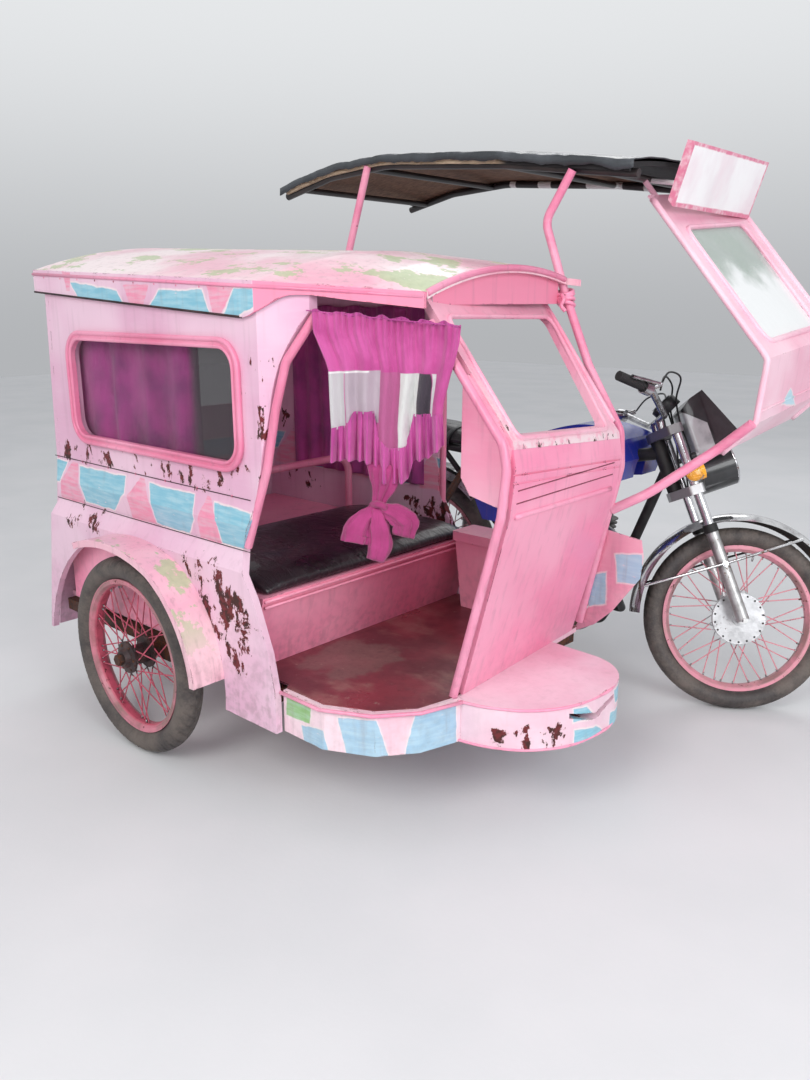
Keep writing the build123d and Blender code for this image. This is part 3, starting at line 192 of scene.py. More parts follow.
class Graph(Nodes):
    """One procedural material."""

    def __init__(self, name):
        self.material = bpy.data.materials.new(name)
        super().__init__(self.material, "Object")
        output = self.node("ShaderNodeOutputMaterial")
        self.shader = self.node("ShaderNodeBsdfPrincipled")
        self.tree.links.new(self.shader.outputs[0], output.inputs[0])

    def vector(self, operation, *values):
        made = self.node("ShaderNodeVectorMath", operation=operation)
        for socket, value in zip(made.inputs, values):
            self.put(socket, value)
        return made.outputs["Value" if operation in ("DOT_PRODUCT", "DISTANCE") else "Vector"]

    def noise(self, scale, detail=4.0, stretch=None, rough=0.55, distort=0.0, shift=0.0):
        where = self.place
        if stretch:
            where = self.vector("MULTIPLY", where, stretch)
        if shift:
            where = self.vector("ADD", where, (shift, shift * 0.7, -shift))
        made = self.node("ShaderNodeTexNoise")
        self.put(made.inputs["Vector"], where)
        self.put(made.inputs["Scale"], scale)
        self.put(made.inputs["Detail"], detail)
        self.put(made.inputs["Roughness"], rough)
        self.put(made.inputs["Distortion"], distort)
        return made.outputs["Fac"]

    def cells(self, scale):
        made = self.node("ShaderNodeTexVoronoi")
        self.put(made.inputs["Vector"], self.place)
        self.put(made.inputs["Scale"], scale)
        return made.outputs["Distance"]

    def tones(self, cloud, first, second):
        """Drifts from the first colour to the second over a noise."""
        return self.mix(self.span(cloud, 0.4, 0.7), first, second)

    def ribs(self, along, scale):
        """Even ribs, as waves along a measure."""
        return self.math("SINE", self.times(along, scale))

    def two_noises(self, fine, broad, share, low, high):
        """Spots where a fine noise and a share of a broad one add up, from low to high."""
        return self.span(self.plus(fine, self.times(broad, share)), low, high)

    def lerp(self, factor, first, second):
        made = self.node("ShaderNodeMix", data_type="FLOAT")
        for index, item in ((0, factor), (2, first), (3, second)):
            self.put(made.inputs[index], item)
        return made.outputs[0]

    def polygon(self, u, v, points, soft=0.0015):
        """1 inside a convex outline of (u, v) points and 0 outside it."""
        area = sum(a[0] * b[1] - b[0] * a[1] for a, b in zip(points, points[1:] + points[:1]))
        turn = 1 if area > 0 else -1
        joined = self.node("ShaderNodeCombineXYZ")
        self.put(joined.inputs[0], u)
        self.put(joined.inputs[1], v)
        joined.inputs[2].default_value = 1.0
        depth = None
        for a, b in zip(points, points[1:] + points[:1]):
            run = math.hypot(b[0] - a[0], b[1] - a[1])
            nx, ny = -(b[1] - a[1]) / run * turn, (b[0] - a[0]) / run * turn
            edge = self.vector("DOT_PRODUCT", joined.outputs[0], (nx, ny, -nx * a[0] - ny * a[1]))
            depth = edge if depth is None else self.math("MINIMUM", depth, edge)
        return self.span(depth, -soft, soft)

    def off(self, centre):
        """The way from a centre to the shaded place."""
        return self.vector("SUBTRACT", self.place, tuple(centre))

    def along(self, centre, axle):
        """Distance from a centre, measured along an axle."""
        return self.vector("DOT_PRODUCT", self.off(centre), tuple(axle))

    def radius(self, centre, axle):
        """Distance from an axle."""
        off = self.off(centre)
        along = self.vector("DOT_PRODUCT", off, tuple(axle))
        square = self.minus(self.vector("DOT_PRODUCT", off, off), self.times(along, along))
        return self.math("SQRT", self.math("MAXIMUM", square, 0.0))

    def edges(self, radius=0.004):
        """1 along sharp edges, from how far a rounded normal leaves the real one."""
        rounded = self.node("ShaderNodeBevel", samples=3)
        rounded.inputs["Radius"].default_value = radius
        return self.span(self.facing(rounded.outputs[0]), 0.995, 0.88)

    def facing(self, way=(0.0, 0.0, 1.0)):
        """How far the surface faces a direction, from -1 to 1."""
        real = self.node("ShaderNodeNewGeometry").outputs["Normal"]
        return self.vector("DOT_PRODUCT", real, way)

    def finish(self, colour, roughness, metallic=0.0, bumps=(), **more):
        """Sets the shader. bumps are (height, distance) pairs, broad ones first."""
        self.put(self.shader.inputs["Base Color"], linear(colour) if isinstance(colour, str) else colour)
        self.put(self.shader.inputs["Roughness"], roughness)
        self.put(self.shader.inputs["Metallic"], metallic)
        normal = None
        for height, distance in bumps:
            made = self.node("ShaderNodeBump")
            self.put(made.inputs["Height"], height)
            made.inputs["Distance"].default_value = distance
            if normal:
                self.put(made.inputs["Normal"], normal)
            normal = made.outputs[0]
        if normal:
            self.put(self.shader.inputs["Normal"], normal)
        for name, value in more.items():
            self.put(self.shader.inputs[name.replace("_", " ")], value)
        return self.material


# Web colours of the painted stripes and of the primer
TURQUOISE = "7fbdd2"
STRIPE_PINK = "f08fae"
PRIMER = "6b2024"
# How strongly sharp edges are worn
EDGE_WEAR = 1.05


def mm_polygon(points):
    """Layout (x, z) points as frame (x, z)."""
    return [((x - MIDDLE[0]) / 1000, z / 1000) for x, z in points]


def side_polygons(*outlines):
    """Layout (x, z) outlines on the sides, in the frame."""
    return [mm_polygon(points) for points in outlines]


def face_polygon(points):
    """Layout (y, z) points as frame (y, z), for outlines on sheets that face forward."""
    return [((y - MIDDLE[1]) / 1000, z / 1000) for y, z in points]


def round_polygons(*outlines):
    """Layout (x + y, z) points, for outlines that run round the skirt and the nose."""
    middle = MIDDLE[0] + MIDDLE[1]
    return [[((s - middle) / 1000, z / 1000) for s, z in points] for points in outlines]


def painted_areas(g, tone, brush, areas, round_areas, face_areas):
    """Areas painted by hand inside outlines, with a pale rim round all but the pink ones."""
    wobble = g.times(g.minus(g.noise(22, 3), 0.5), 0.016)
    wobble_z = g.times(g.minus(g.noise(19, 3, shift=3.1), 0.5), 0.014)
    z = g.plus(g.z, wobble_z)
    across = g.plus(g.x, wobble)
    around = g.plus(g.plus(g.x, g.y), wobble)
    sideways = g.plus(g.y, wobble)
    for u, listed in ((across, areas), (around, round_areas), (sideways, face_areas)):
        for colour, outlines in listed:
            masks = [g.polygon(u, z, points) for points in outlines]
            if colour != STRIPE_PINK:
                rims = [g.polygon(u, z, points, soft=0.010) for points in outlines]
                rim = g.span(g.any_of(rims), 0.05, 0.3)
                tone = g.mix(g.times(rim, 0.8), tone, "f3e2e4")
            shade = g.mix(g.span(brush, 0.3, 0.75), colour, g.mix(0.35, colour, "d9eef2"))
            worn = g.span(g.noise(30, 4, stretch=(1, 1, 3), shift=7), 0.66, 0.74, 1.0, 0.35)
            tone = g.mix(g.times(g.any_of(masks), worn), tone, shade)
    return tone


def wear(g, chips, chip_places, chalk):
    """How much of the paint is gone: in broad patches, listed places, edges and chalky paint."""
    worn = [g.span(g.noise(4.2, 2, shift=1.7), 0.57, 0.72, 0.0, 0.5 * chips)]
    for strength, points in chip_places:
        worn.append(g.times(g.polygon(g.x, g.z, points, soft=0.03), strength))
    worn.append(g.times(g.edges(), EDGE_WEAR))
    if chalk:
        worn.append(g.times(chalk, 1.1))
    return g.any_of(worn)


def lichen_growth(g, amount):
    """1 where lichen grows, on faces that look up."""
    top = g.span(g.facing(), 0.1, 0.7)
    spread = g.noise(8.5, 5, stretch=(0.6, 1, 1), rough=0.6, shift=4)
    least = 0.685 - 0.06 * amount
    growth = g.two_noises(spread, g.noise(60, 4), 0.16, least, least + 0.035)
    return g.times(growth, top)


def paint(
    name,
    colour,
    faded,
    chips=0.5,
    chip_places=(),
    grime=0.35,
    lichen=0.0,
    areas=(),
    round_areas=(),
    face_areas=(),
    soffit=None,
    front=None,
    low_dirt_and_shade=0.3,
    gloss=0.32,
    primer=PRIMER,
    peel=None,
):
    """Old brushed enamel: faded and stained, with painted areas, chips to the primer and rust; darker low
    down, with dirt and painted shade.

    peel(graph) gives a mask where the paint is chalky and comes off.
    """
    g = Graph(name)
    cloud = g.noise(2.6, 3)
    fine = g.noise(46, 5)
    brush = g.noise(14, 4, stretch=(1, 1, 7))
    tone = g.mix(g.span(cloud, 0.36, 0.64), colour, faded)
    tone = g.mix(g.span(brush, 0.45, 0.8, 0.0, 0.25), tone, faded)
    tone = painted_areas(g, tone, brush, areas, round_areas, face_areas)
    # Faces that look down take the soffit colour: the trim's pink, painted darker as shade under the
    # overhang.
    if soffit:
        tone = g.mix(g.span(g.facing(), -0.5, -0.8), tone, soffit)
    if front:
        tone = g.mix(g.span(g.facing((1.0, 0.0, 0.0)), 0.45, 0.6), tone, front)
    streak = g.span(g.noise(11, 3, stretch=(5, 5, 0.4)), 0.5, 0.78, 0.0, grime)
    tone = g.mix(streak, tone, "8d6a72")
    # Darker towards the ground: partly dirt, partly painted shade.
    low = g.span(g.z, 0.62, 0.24, 0.0, low_dirt_and_shade)
    tone = g.mix(g.times(low, g.span(fine, 0.4, 0.7)), tone, "6f5552")
    chalk = peel(g) if peel else None
    if chalk:
        tone = g.mix(g.times(chalk, g.span(fine, 0.35, 0.55, 0.2, 0.85)), tone, "efdde0")
    flakes = g.noise(19, 6, stretch=(1, 1, 0.6), rough=0.68, distort=0.3)
    limit = g.minus(0.80, g.times(wear(g, chips, chip_places, chalk), 0.22))
    over = g.minus(flakes, limit)
    chip = g.span(over, 0.0, 0.008)
    rust = g.mix(g.span(fine, 0.45, 0.6), primer, "3a1712")
    tone = g.mix(chip, tone, rust)
    halo = g.times(g.span(over, -0.016, 0.0, 0.0, 0.4), g.minus(1.0, chip))
    tone = g.mix(halo, tone, "c99a98")
    rough = g.lerp(chip, g.span(cloud, 0.3, 0.7, gloss, gloss + 0.16), 0.85)
    if lichen:
        growth = lichen_growth(g, lichen)
        tone = g.mix(g.times(growth, 0.75), tone, g.mix(fine, "8fae7c", "c3d3a4"))
        rough = g.lerp(growth, rough, 0.9)
    waves = g.noise(3.2, 1, shift=9)
    skin = g.minus(g.times(brush, 0.25), g.times(chip, 1.0))
    bumps = [(waves, 0.012), (skin, 0.0007), (g.noise(260, 3), 0.00012)]
    return g.finish(tone, rough, 0.0, bumps, Coat_Weight=0.25, Coat_Roughness=0.16)


def metal(name, colour, dark, rough=0.25, pits=0.4, metallic=1.0, bump=0.0002):
    """Bare or plated metal with dull patches, pits and rust."""
    g = Graph(name)
    cloud = g.noise(18, 4)
    least = 0.90 - 0.14 * pits
    pit = g.two_noises(g.noise(90, 5, rough=0.7), g.noise(9, 3), 0.4, least, least + 0.06)
    tone = g.tones(cloud, colour, dark)
    tone = g.mix(g.times(g.edges(0.002), 0.35), tone, "d8d6d2" if metallic > 0.5 else dark)
    tone = g.mix(pit, tone, "5a3420")
    shine = g.lerp(pit, g.span(cloud, 0.35, 0.7, rough, rough + 0.2), 0.8)
    return g.finish(tone, shine, g.lerp(pit, metallic, 0.1), [(g.noise(150, 4), bump)])


def tyre_material():
    """Tyre rubber with dried mud and dust."""
    g = Graph("tyre rubber")
    fine = g.noise(160, 4)
    mud = g.plus(g.noise(9, 5, rough=0.65), g.times(fine, 0.25))
    mud = g.span(mud, 0.42, 0.85, 0.0, 0.6)
    tone = g.mix(mud, "3b3636", "82776f")
    return g.finish(tone, g.lerp(mud, 0.55, 0.9), 0.0, [(fine, 0.0004)])


# Width of a thread of the cloth
THREAD = 0.0011


def fabric(name, colour, shade, areas=None):
    """Thin woven cloth with creases, its colour drifting between two tones."""
    g = Graph(name)
    tone = g.mix(g.span(g.noise(9, 4), 0.35, 0.7), colour, shade)
    if areas:
        tone = areas(g, tone)
    warp, weft = (g.ribs(way, 2 * math.pi / THREAD / 2) for way in (g.plus(g.x, g.y), g.z))
    weave = g.times(g.plus(warp, weft), 0.5)
    crease = g.noise(26, 5, stretch=(1, 1, 0.45), rough=0.6)
    bumps = [(crease, 0.006), (weave, 0.0003)]
    return g.finish(tone, 0.8, 0.0, bumps, Sheen_Weight=0.25, Sheen_Roughness=0.5)


# Pairs of fresh and faded paint
LAVENDER = ("e2afca", "ecc9db")
STRONG = ("f28cb0", "f6a6c1")

# Outlines of the painted stripes along the valance and the belt of the cabin's side
VALANCE_BLUES = side_polygons(
    [(-1483, 1361), (-1237, 1336), (-1185, 1274), (-1426, 1294)],
    [(-1034, 1334), (-847, 1335), (-812, 1269), (-1107, 1273)],
    [(-716, 1337), (-620, 1337), (-622, 1306), (-705, 1276), (-768, 1268)],
    [(-628, 1337), (-481, 1321), (-331, 1314), (-334, 1285), (-628, 1300)],
)
VALANCE_PINKS = side_polygons(
    [(-1203, 1352), (-1078, 1350), (-1124, 1278), (-1165, 1277)],
    [(-829, 1352), (-712, 1346), (-771, 1277), (-803, 1276)],
    [(-1530, 1392), (-1478, 1388), (-1490, 1338), (-1510, 1338)],
)
BELT_BLUES = side_polygons(
    [(-1760, 815), (-1625, 814), (-1669, 750), (-1770, 733)],
    [(-1550, 811), (-1220, 811), (-1284, 762), (-1284, 700), (-1528, 700)],
    [(-1158, 808), (-892, 807), (-943, 740), (-943, 696), (-1131, 696)],
    [(-852, 800), (-700, 792), (-700, 693), (-829, 693)],
)
BELT_PINKS = side_polygons(
    [(-1590, 820), (-1562, 820), (-1540, 690), (-1690, 690), (-1663, 751)],
    [(-1205, 817), (-1185, 817), (-1155, 756), (-1138, 690), (-1268, 690), (-1268, 760)],
    [(-884, 812), (-872, 812), (-843, 763), (-836, 690), (-927, 690), (-929, 735)],
)
# Where the paint of the cabin's side is chipped most
UNDER_WINDOW = mm_polygon([(-1660, 915), (-1660, 812), (-740, 812), (-740, 915)])
BY_WINDOW = mm_polygon([(-725, 1200), (-600, 1200), (-640, 840), (-740, 840)])
REAR_EDGE = mm_polygon([(-1730, 1300), (-1685, 1300), (-1685, 700), (-1730, 700)])
REAR_SHELF = mm_polygon([(-1620, 700), (-1360, 700), (-1360, 600), (-1620, 600)])
BY_ARCH = mm_polygon([(-1010, 660), (-800, 680), (-640, 500), (-640, 330), (-760, 330), (-960, 560)])
# Patches painted low down, on the nose, the skirt and the leg guard
NOSE_BLUES = round_polygons(
    [(-998, 331), (-945, 328), (-905, 290), (-998, 296)],
    [(-992, 272), (-900, 262), (-850, 225), (-992, 225)],
    [(-812, 330), (-770, 330), (-766, 282), (-800, 288)],
    [(-822, 270), (-770, 262), (-766, 225), (-832, 225)],
)
SKIRT_GREENS = round_polygons([(-2012, 338), (-1922, 336), (-1928, 285), (-2014, 280)])
SKIRT_BLUES = round_polygons(
    [(-1959, 270), (-1880, 284), (-1860, 225), (-1950, 225)],
    [(-1824, 322), (-1693, 326), (-1648, 225), (-1797, 225)],
    [(-1556, 336), (-1409, 340), (-1404, 225), (-1596, 225)],
)
LEG_BLUES = side_polygons(
    [(-282, 499), (-224, 518), (-217, 421), (-275, 401)],
    [(-195, 580), (-109, 597), (-102, 507), (-182, 496)],
)

body_paint = paint(
    "body paint",
    *LAVENDER,
    chips=0.9,
    chip_places=[
        (1.1, UNDER_WINDOW),
        (0.95, BY_WINDOW),
        (1.05, REAR_EDGE),
        (1.1, REAR_SHELF),
        (1.3, BY_ARCH),
    ],
    grime=0.14,
    areas=[(TURQUOISE, BELT_BLUES), (STRIPE_PINK, BELT_PINKS)],
)
valance_paint = paint(
    "valance paint",
    *LAVENDER,
    chips=0.2,
    grime=0.18,
    areas=[(TURQUOISE, VALANCE_BLUES), (STRIPE_PINK, VALANCE_PINKS)],
    # The soffit colour is the strong pink of the front, painted darker as shade on faces that look down.
    soffit="e57a9c",
    front="f08fad",
)
# The roof's pale second colour is partly faded paint and partly a painted reflection of the sky on its wet
# top.
roof_paint = paint("roof paint", "efa9bf", "f9e7e9", chips=0.7, lichen=1.0, gloss=0.28)
strong_paint = paint("strong pink paint", *STRONG, chips=0.3, grime=0.2, low_dirt_and_shade=0.15)
kick_paint = paint("kick panel paint", "f68db0", "fba5bf", chips=0.4, grime=0.2)
tube_paint = paint("tube paint", "e27c9f", "ee9bb8", chips=0.7, grime=0.25)
guard_paint = paint("mudguard paint", "eda7bf", "f5cdd5", chips=0.8, lichen=0.9)


def lower_rail(g):
    """1 on the chalky lower rail and front corner of the windscreen's frame."""
    level = g.plus(g.z, g.times(g.minus(g.y, y_of(-1140)), 0.07))
    rail = g.times(g.span(level, 0.940, 0.960), g.span(level, 1.018, 0.992))
    post = g.times(g.span(level, 1.26, 1.0), g.span(g.y, y_of(-1100), y_of(-1125)))
    past_wing = g.span(g.y, y_of(-1141), y_of(-1139))
    return g.times(g.any_of([rail, g.times(post, 0.75)]), past_wing)


screen_paint = paint(
    "windscreen frame paint",
    "ef93b1",
    "f3b4c8",
    chips=0.4,
    grime=0.2,
    primer="4a3430",
    peel=lower_rail,
)
shield_paint = paint(
    "windshield paint",
    "f2aec5",
    "f9d0de",
    chips=0.15,
    grime=0.12,
    face_areas=[("b8d8e6", [face_polygon([(-67, 1061), (-112, 1018), (0, 1009)])])],
)
nose_paint = paint(
    "nose paint",
    "eab6c9",
    "f2d4e0",
    chips=0.6,
    chip_places=[(1.2, mm_polygon([(-150, 290), (-30, 335), (0, 320), (0, 200), (-150, 200)]))],
    grime=0.10,
    low_dirt_and_shade=0.06,
    round_areas=[(TURQUOISE, NOSE_BLUES)],
)
skirt_paint = paint(
    "skirt paint",
    "f0bccd",
    "f6dbe4",
    chips=0.5,
    grime=0.2,
    low_dirt_and_shade=0.12,
    round_areas=[("8fc079", SKIRT_GREENS), ("9fc4dc", SKIRT_BLUES)],
)
leg_paint = paint(
    "leg guard paint",
    "ef9db7",
    "f7c3d0",
    chips=0.5,
    grime=0.2,
    areas=[("a3cbe0", LEG_BLUES)],
)


def floor_material():
    """Dark red floor paint, walked through to brown in soft patches, damp in places."""
    g = Graph("floor paint")
    cloud = g.noise(3.2, 4, rough=0.55)
    grit = g.noise(70, 6, rough=0.7)
    scuff = g.noise(5.5, 5, stretch=(1, 1.6, 1), shift=2, rough=0.6)
    tone = g.mix(g.span(cloud, 0.35, 0.65), "8c3c44", "632b33")
    tone = g.mix(g.span(scuff, 0.5, 0.72, 0.0, 0.75), tone, "9a726a")
    middle = g.vector("DISTANCE", g.place, tuple(at(-610, -1150, 347)))
    ragged = g.plus(middle, g.times(g.noise(7, 5, shift=6, rough=0.6), 0.30))
    tone = g.mix(g.span(ragged, 0.30, 0.26, 0.0, 0.6), tone, g.mix(grit, "8a736b", "5f4c48"))
    tone = g.mix(g.span(grit, 0.55, 0.75, 0.0, 0.5), tone, "38191c")
    tone = g.mix(g.span(g.noise(33, 5, rough=0.7, shift=5), 0.66, 0.7, 0.0, 0.6), tone, "a98e84")
    rough = g.span(cloud, 0.35, 0.65, 0.25, 0.6)
    bumps = [(cloud, 0.004), (grit, 0.0009)]
    return g.finish(tone, rough, 0.0, bumps, Coat_Weight=0.3, Coat_Roughness=0.2)


def vinyl(name, colour, shade, gloss, dust=None):
    """Grained vinyl with soft folds; dust lies on what faces up."""
    g = Graph(name)
    cloud = g.noise(6, 4)
    folds = g.noise(13, 4, stretch=(1, 2.2, 1), distort=0.8)
    tone = g.mix(g.span(cloud, 0.35, 0.7), colour, shade)
    if dust:
        top = g.span(g.facing(), 0.3, 0.9)
        lie = g.times(top, g.span(g.noise(12, 5), 0.42, 0.75, 0.0, 0.7))
        tone = g.mix(lie, tone, dust)
    rough = g.span(cloud, 0.3, 0.7, gloss, gloss + 0.2)
    return g.finish(tone, rough, 0.0, [(folds, 0.008), (g.cells(420), 0.0004)], Coat_Weight=0.2)


def wood(name, colour, dark, black_from=None):
    """Grey weathered wood, painted black ahead of layout x black_from."""
    g = Graph(name)
    fibre = g.noise(20, 6, stretch=(1.2, 9, 9), distort=0.5)
    tone = g.mix(g.span(fibre, 0.35, 0.7), colour, dark)
    if black_from is not None:
        tone = g.mix(g.span(g.x, x_of(black_from), x_of(black_from + 60)), tone, "262527")
    return g.finish(tone, 0.85, 0.0, [(fibre, 0.002)])


def pane_material():
    """Streaked glass: the side pane dark as painted shade of the cabin, the windshield wet and pale, near
    white towards its top as a painted reflection of the sky.
    """
    g = Graph("panes")
    smear = g.noise(7, 5, stretch=(1, 1, 0.5))
    shield = g.span(g.y, y_of(-700), y_of(-600))
    painted_glare = g.span(g.plus(g.z, g.times(smear, 0.25)), 1.57, 1.46)
    g.material.blend_method = "BLEND"
    behind_drape = g.span(smear, 0.35, 0.75, 0.12, 0.3)
    # Ahead of the drape the dark side pane is mostly opaque: painted shade of the cabin behind it.
    side_cover = g.lerp(g.span(g.x, x_of(-960), x_of(-915)), behind_drape, 0.66)
    shield_cover = g.lerp(painted_glare, g.span(smear, 0.35, 0.75, 0.25, 0.45), 0.93)
    # The side pane is dark as painted shade; the windshield turns near white towards its top as a painted
    # reflection of the sky.
    tone = g.mix(shield, "3c373b", g.mix(painted_glare, "a9bcae", "f4f6f6"))
    rough = g.span(smear, 0.4, 0.7, 0.06, 0.25)
    cover = g.lerp(shield, side_cover, shield_cover)
    return g.finish(tone, rough, 0.0, [(smear, 0.002)], Alpha=cover)


def amber_material():
    """Ribbed amber glass."""
    g = Graph("amber lens")
    rings = g.ribs(g.noise(60, 2), 40.0)
    tone = g.mix(g.span(g.noise(30, 3), 0.35, 0.65), "f0ab35", "dd9424")
    return g.finish(tone, 0.14, 0.0, [(rings, 0.0004)], Coat_Weight=0.5)


floor_paint = floor_material()
bench_vinyl = vinyl("bench vinyl", "1c171b", "2b2429", gloss=0.2)
saddle_vinyl = vinyl("saddle vinyl", "1b1a1c", "2a282b", gloss=0.35)
tarp_vinyl = vinyl("canopy vinyl", "2b2f34", "42474d", gloss=0.36, dust="8b8c92")
board_wood = wood("canopy board", "7a5a45", "4a3328", black_from=-620)
board_edge = wood("board edge", "c9b49c", "927c64", black_from=-690)
pane_glass = pane_material()
tyre_rubber = tyre_material()
chrome = metal("chrome", "d6d6d9", "9b9a9e", rough=0.12, pits=0.4)
dull_chrome = metal("dull chrome", "a5a4a6", "7c7a7c", rough=0.25, pits=0.9)
alloy = metal("cast alloy", "9d9d9e", "6e6c6b", rough=0.42, pits=0.3, bump=0.0006)
black_metal = metal("black metal", "1a191b", "2d2b2c", rough=0.4, pits=0.5, metallic=0.2)
rusty_steel = metal("rusty steel", "4a342c", "2e211e", rough=0.6, pits=1.6, metallic=0.3, bump=0.0008)
black_plastic = metal("black plastic", "17171a", "26262a", rough=0.36, pits=0.0, metallic=0.0)
grey_plastic = metal("silver plastic", "9fa2a6", "83868b", rough=0.34, pits=0.1, metallic=0.4)
blue_paint = paint("tank paint", "24309a", "3b4ac0", chips=0.2, grime=0.2, gloss=0.18, primer="222233")
chain_steel = metal("chain steel", "544d46", "38332f", rough=0.5, pits=1.0)
amber_glass = amber_material()
magenta_cloth = fabric("magenta cloth", "cc54a3", "b03b8c")
wine_cloth = fabric("wine cloth", "c2479b", "963680")
knot_cloth = fabric("knot cloth", "bb3d83", "9b2c68")
seam_shade = metal("painted seam shade", "3a2428", "241619", rough=0.7, pits=0.0, metallic=0.0)
groove_shade_paint = metal("groove shade", "8e4456", "703341", rough=0.7, pits=0.0, metallic=0.0)


def wheel_material(wheel, rim, hub, hub_radius, spoke):
    """Rim, spokes and hub of a wire wheel by their distance from the axle.

    rim, spoke and hub give two colours each; hub adds its roughness and its share of metal.
    """
    g = Graph(f"{wheel} wheel")
    centre, axle, _ = WHEELS[wheel]
    far = g.radius(centre, axle)
    at_hub = g.span(far, hub_radius + 0.002, hub_radius)
    at_rim = g.span(far, 0.212, 0.216)
    inner_rim = g.times(at_rim, g.span(far, 0.233, 0.229))
    cloud = g.noise(26, 4)
    rim_tone, hub_tone, spoke_tone = (g.tones(cloud, pair[0], pair[1]) for pair in (rim, hub, spoke))
    tone = g.mix(at_hub, g.mix(at_rim, spoke_tone, rim_tone), hub_tone)
    dirt = g.span(g.noise(7, 4, shift=3), 0.40, 0.66, 0.0, 0.75)
    tone = g.mix(g.times(inner_rim, dirt), tone, "7d6a63")
    pit = g.two_noises(g.noise(80, 5, rough=0.7), g.noise(10, 3), 0.5, 0.90, 0.96)
    tone = g.mix(pit, tone, "4a2019")
    rough = g.lerp(pit, g.lerp(at_hub, 0.42, hub[2]), 0.85)
    return g.finish(tone, rough, g.times(at_hub, hub[3]), [(g.noise(120, 4), 0.0004)])


def fork_material():
    """Grey sliders, black seals, bright stanchions and dark clamps, by the height on the fork."""
    g = Graph("fork")
    height = g.along(STEER_BASE, STEER_AXIS)
    seal = g.band(height, 0.298, 0.328, 0.002)
    upper = g.span(height, 0.326, 0.328)
    clamp = g.any_of([g.band(height, 0.429, 0.465, 0.002), g.span(height, 0.637, 0.639)])
    cloud = g.noise(30, 4)
    pit = g.two_noises(g.noise(120, 5), g.noise(9, 3), 0.4, 0.88, 0.92)
    slider = g.tones(cloud, "c9c8c8", "a3a2a1")
    stanchion = g.tones(cloud, "e4e4e7", "cacacd")
    tone = g.mix(upper, slider, stanchion)
    tone = g.mix(clamp, tone, g.mix(g.span(height, 0.55, 0.56), "c2c2c4", "8f8e90"))
    tone = g.mix(seal, tone, "141414")
    tone = g.mix(pit, tone, "6a4a34")
    rough = g.lerp(seal, g.lerp(clamp, g.lerp(upper, 0.42, 0.12), 0.5), 0.6)
    level = g.times(g.minus(1.0, g.any_of([seal, pit])), 0.95)
    return g.finish(tone, g.lerp(pit, rough, 0.8), level, [(g.noise(200, 3), 0.0002)])


def front_guard_material():
    """Chrome outside, dark underneath."""
    g = Graph("front mudguard")
    outward = g.vector("NORMALIZE", g.off(FRONT_CENTRE))
    outside = g.span(g.facing(outward), -0.2, 0.0)
    pit = g.two_noises(g.noise(100, 5), g.noise(8, 3), 0.5, 0.90, 0.97)
    tone = g.mix(outside, "3b3431", g.tones(g.noise(20, 4), "dededf", "b3b2b4"))
    tone = g.mix(pit, tone, "6d4a38")
    rough = g.lerp(pit, g.lerp(outside, 0.7, 0.13), 0.8)
    metallic = g.times(outside, g.span(pit, 0, 1, 0.95, 0.1))
    return g.finish(tone, rough, metallic, [(g.noise(90, 3), 0.0002)])


def engine_material():
    """Grey cases below, a dark barrel and head above, oil and dirt over both."""
    g = Graph("engine")
    barrel = g.span(g.z, 0.425, 0.43)
    cloud = g.noise(22, 5)
    oil = g.plus(g.noise(9, 4), g.times(g.noise(70, 4), 0.3))
    oil = g.span(oil, 0.58, 0.78, 0.0, 0.75)
    case = g.tones(cloud, "8f8e8c", "6a6765")
    tone = g.mix(barrel, case, g.tones(cloud, "4c4a49", "353332"))
    tone = g.mix(oil, tone, "2b2320")
    return g.finish(tone, g.lerp(oil, 0.45, 0.65), 0.75, [(cloud, 0.001), (g.noise(190, 3), 0.0004)])


def lamps_material():
    """Amber indicators and a clear headlamp, by their distance from the fork's middle plane."""
    g = Graph("lamps")
    sideways = g.along(STEER_BASE, FORK_LEFT)
    side = g.math("ABSOLUTE", sideways)
    outer = g.span(side, 0.100, 0.102)
    lens = g.times(outer, g.span(side, 0.127, 0.129))
    tone = g.mix(outer, "d9dde0", g.mix(lens, "1b1b1d", "eda42a"))
    glow = g.mix(lens, "000000", "eda42a")
    bumps = [(g.ribs(sideways, 700.0), 0.0005)]
    metallic = g.lerp(outer, 0.35, 0.0)
    return g.finish(tone, 0.12, metallic, bumps, Emission_Color=glow, Emission_Strength=0.15)


# Where the handlebar bends and ends, in the fork's frame
BAR_BEND = (-18, 275, 780)
BAR_END = (-109, 356, 843)


def handlebar_material():
    """Chrome bar and levers, with black rubber within a grip's radius of each bar end."""
    g = Graph("handlebar")
    masks = []
    for side in (-1, 1):
        bend = fork(BAR_BEND[0], side * BAR_BEND[1], BAR_BEND[2])
        end = fork(BAR_END[0], side * BAR_END[1], BAR_END[2])
        outward = (end - bend).normalized()
        near = g.span(g.radius(bend, outward), 0.0188, 0.0182)
        masks.append(g.times(near, g.span(g.along(bend, outward), 0.034, 0.036)))
    grip = g.any_of(masks)
    ribs = g.times(g.ribs(g.along(STEER_BASE, FORK_LEFT), 1500.0), grip)
    tone = g.mix(grip, g.tones(g.noise(40, 4), "b9b9bc", "7f7e80"), "19181a")
    bumps = [(g.noise(200, 3), 0.0003), (ribs, 0.0006)]
    return g.finish(tone, g.lerp(grip, 0.22, 0.6), g.minus(1.0, grip), bumps)


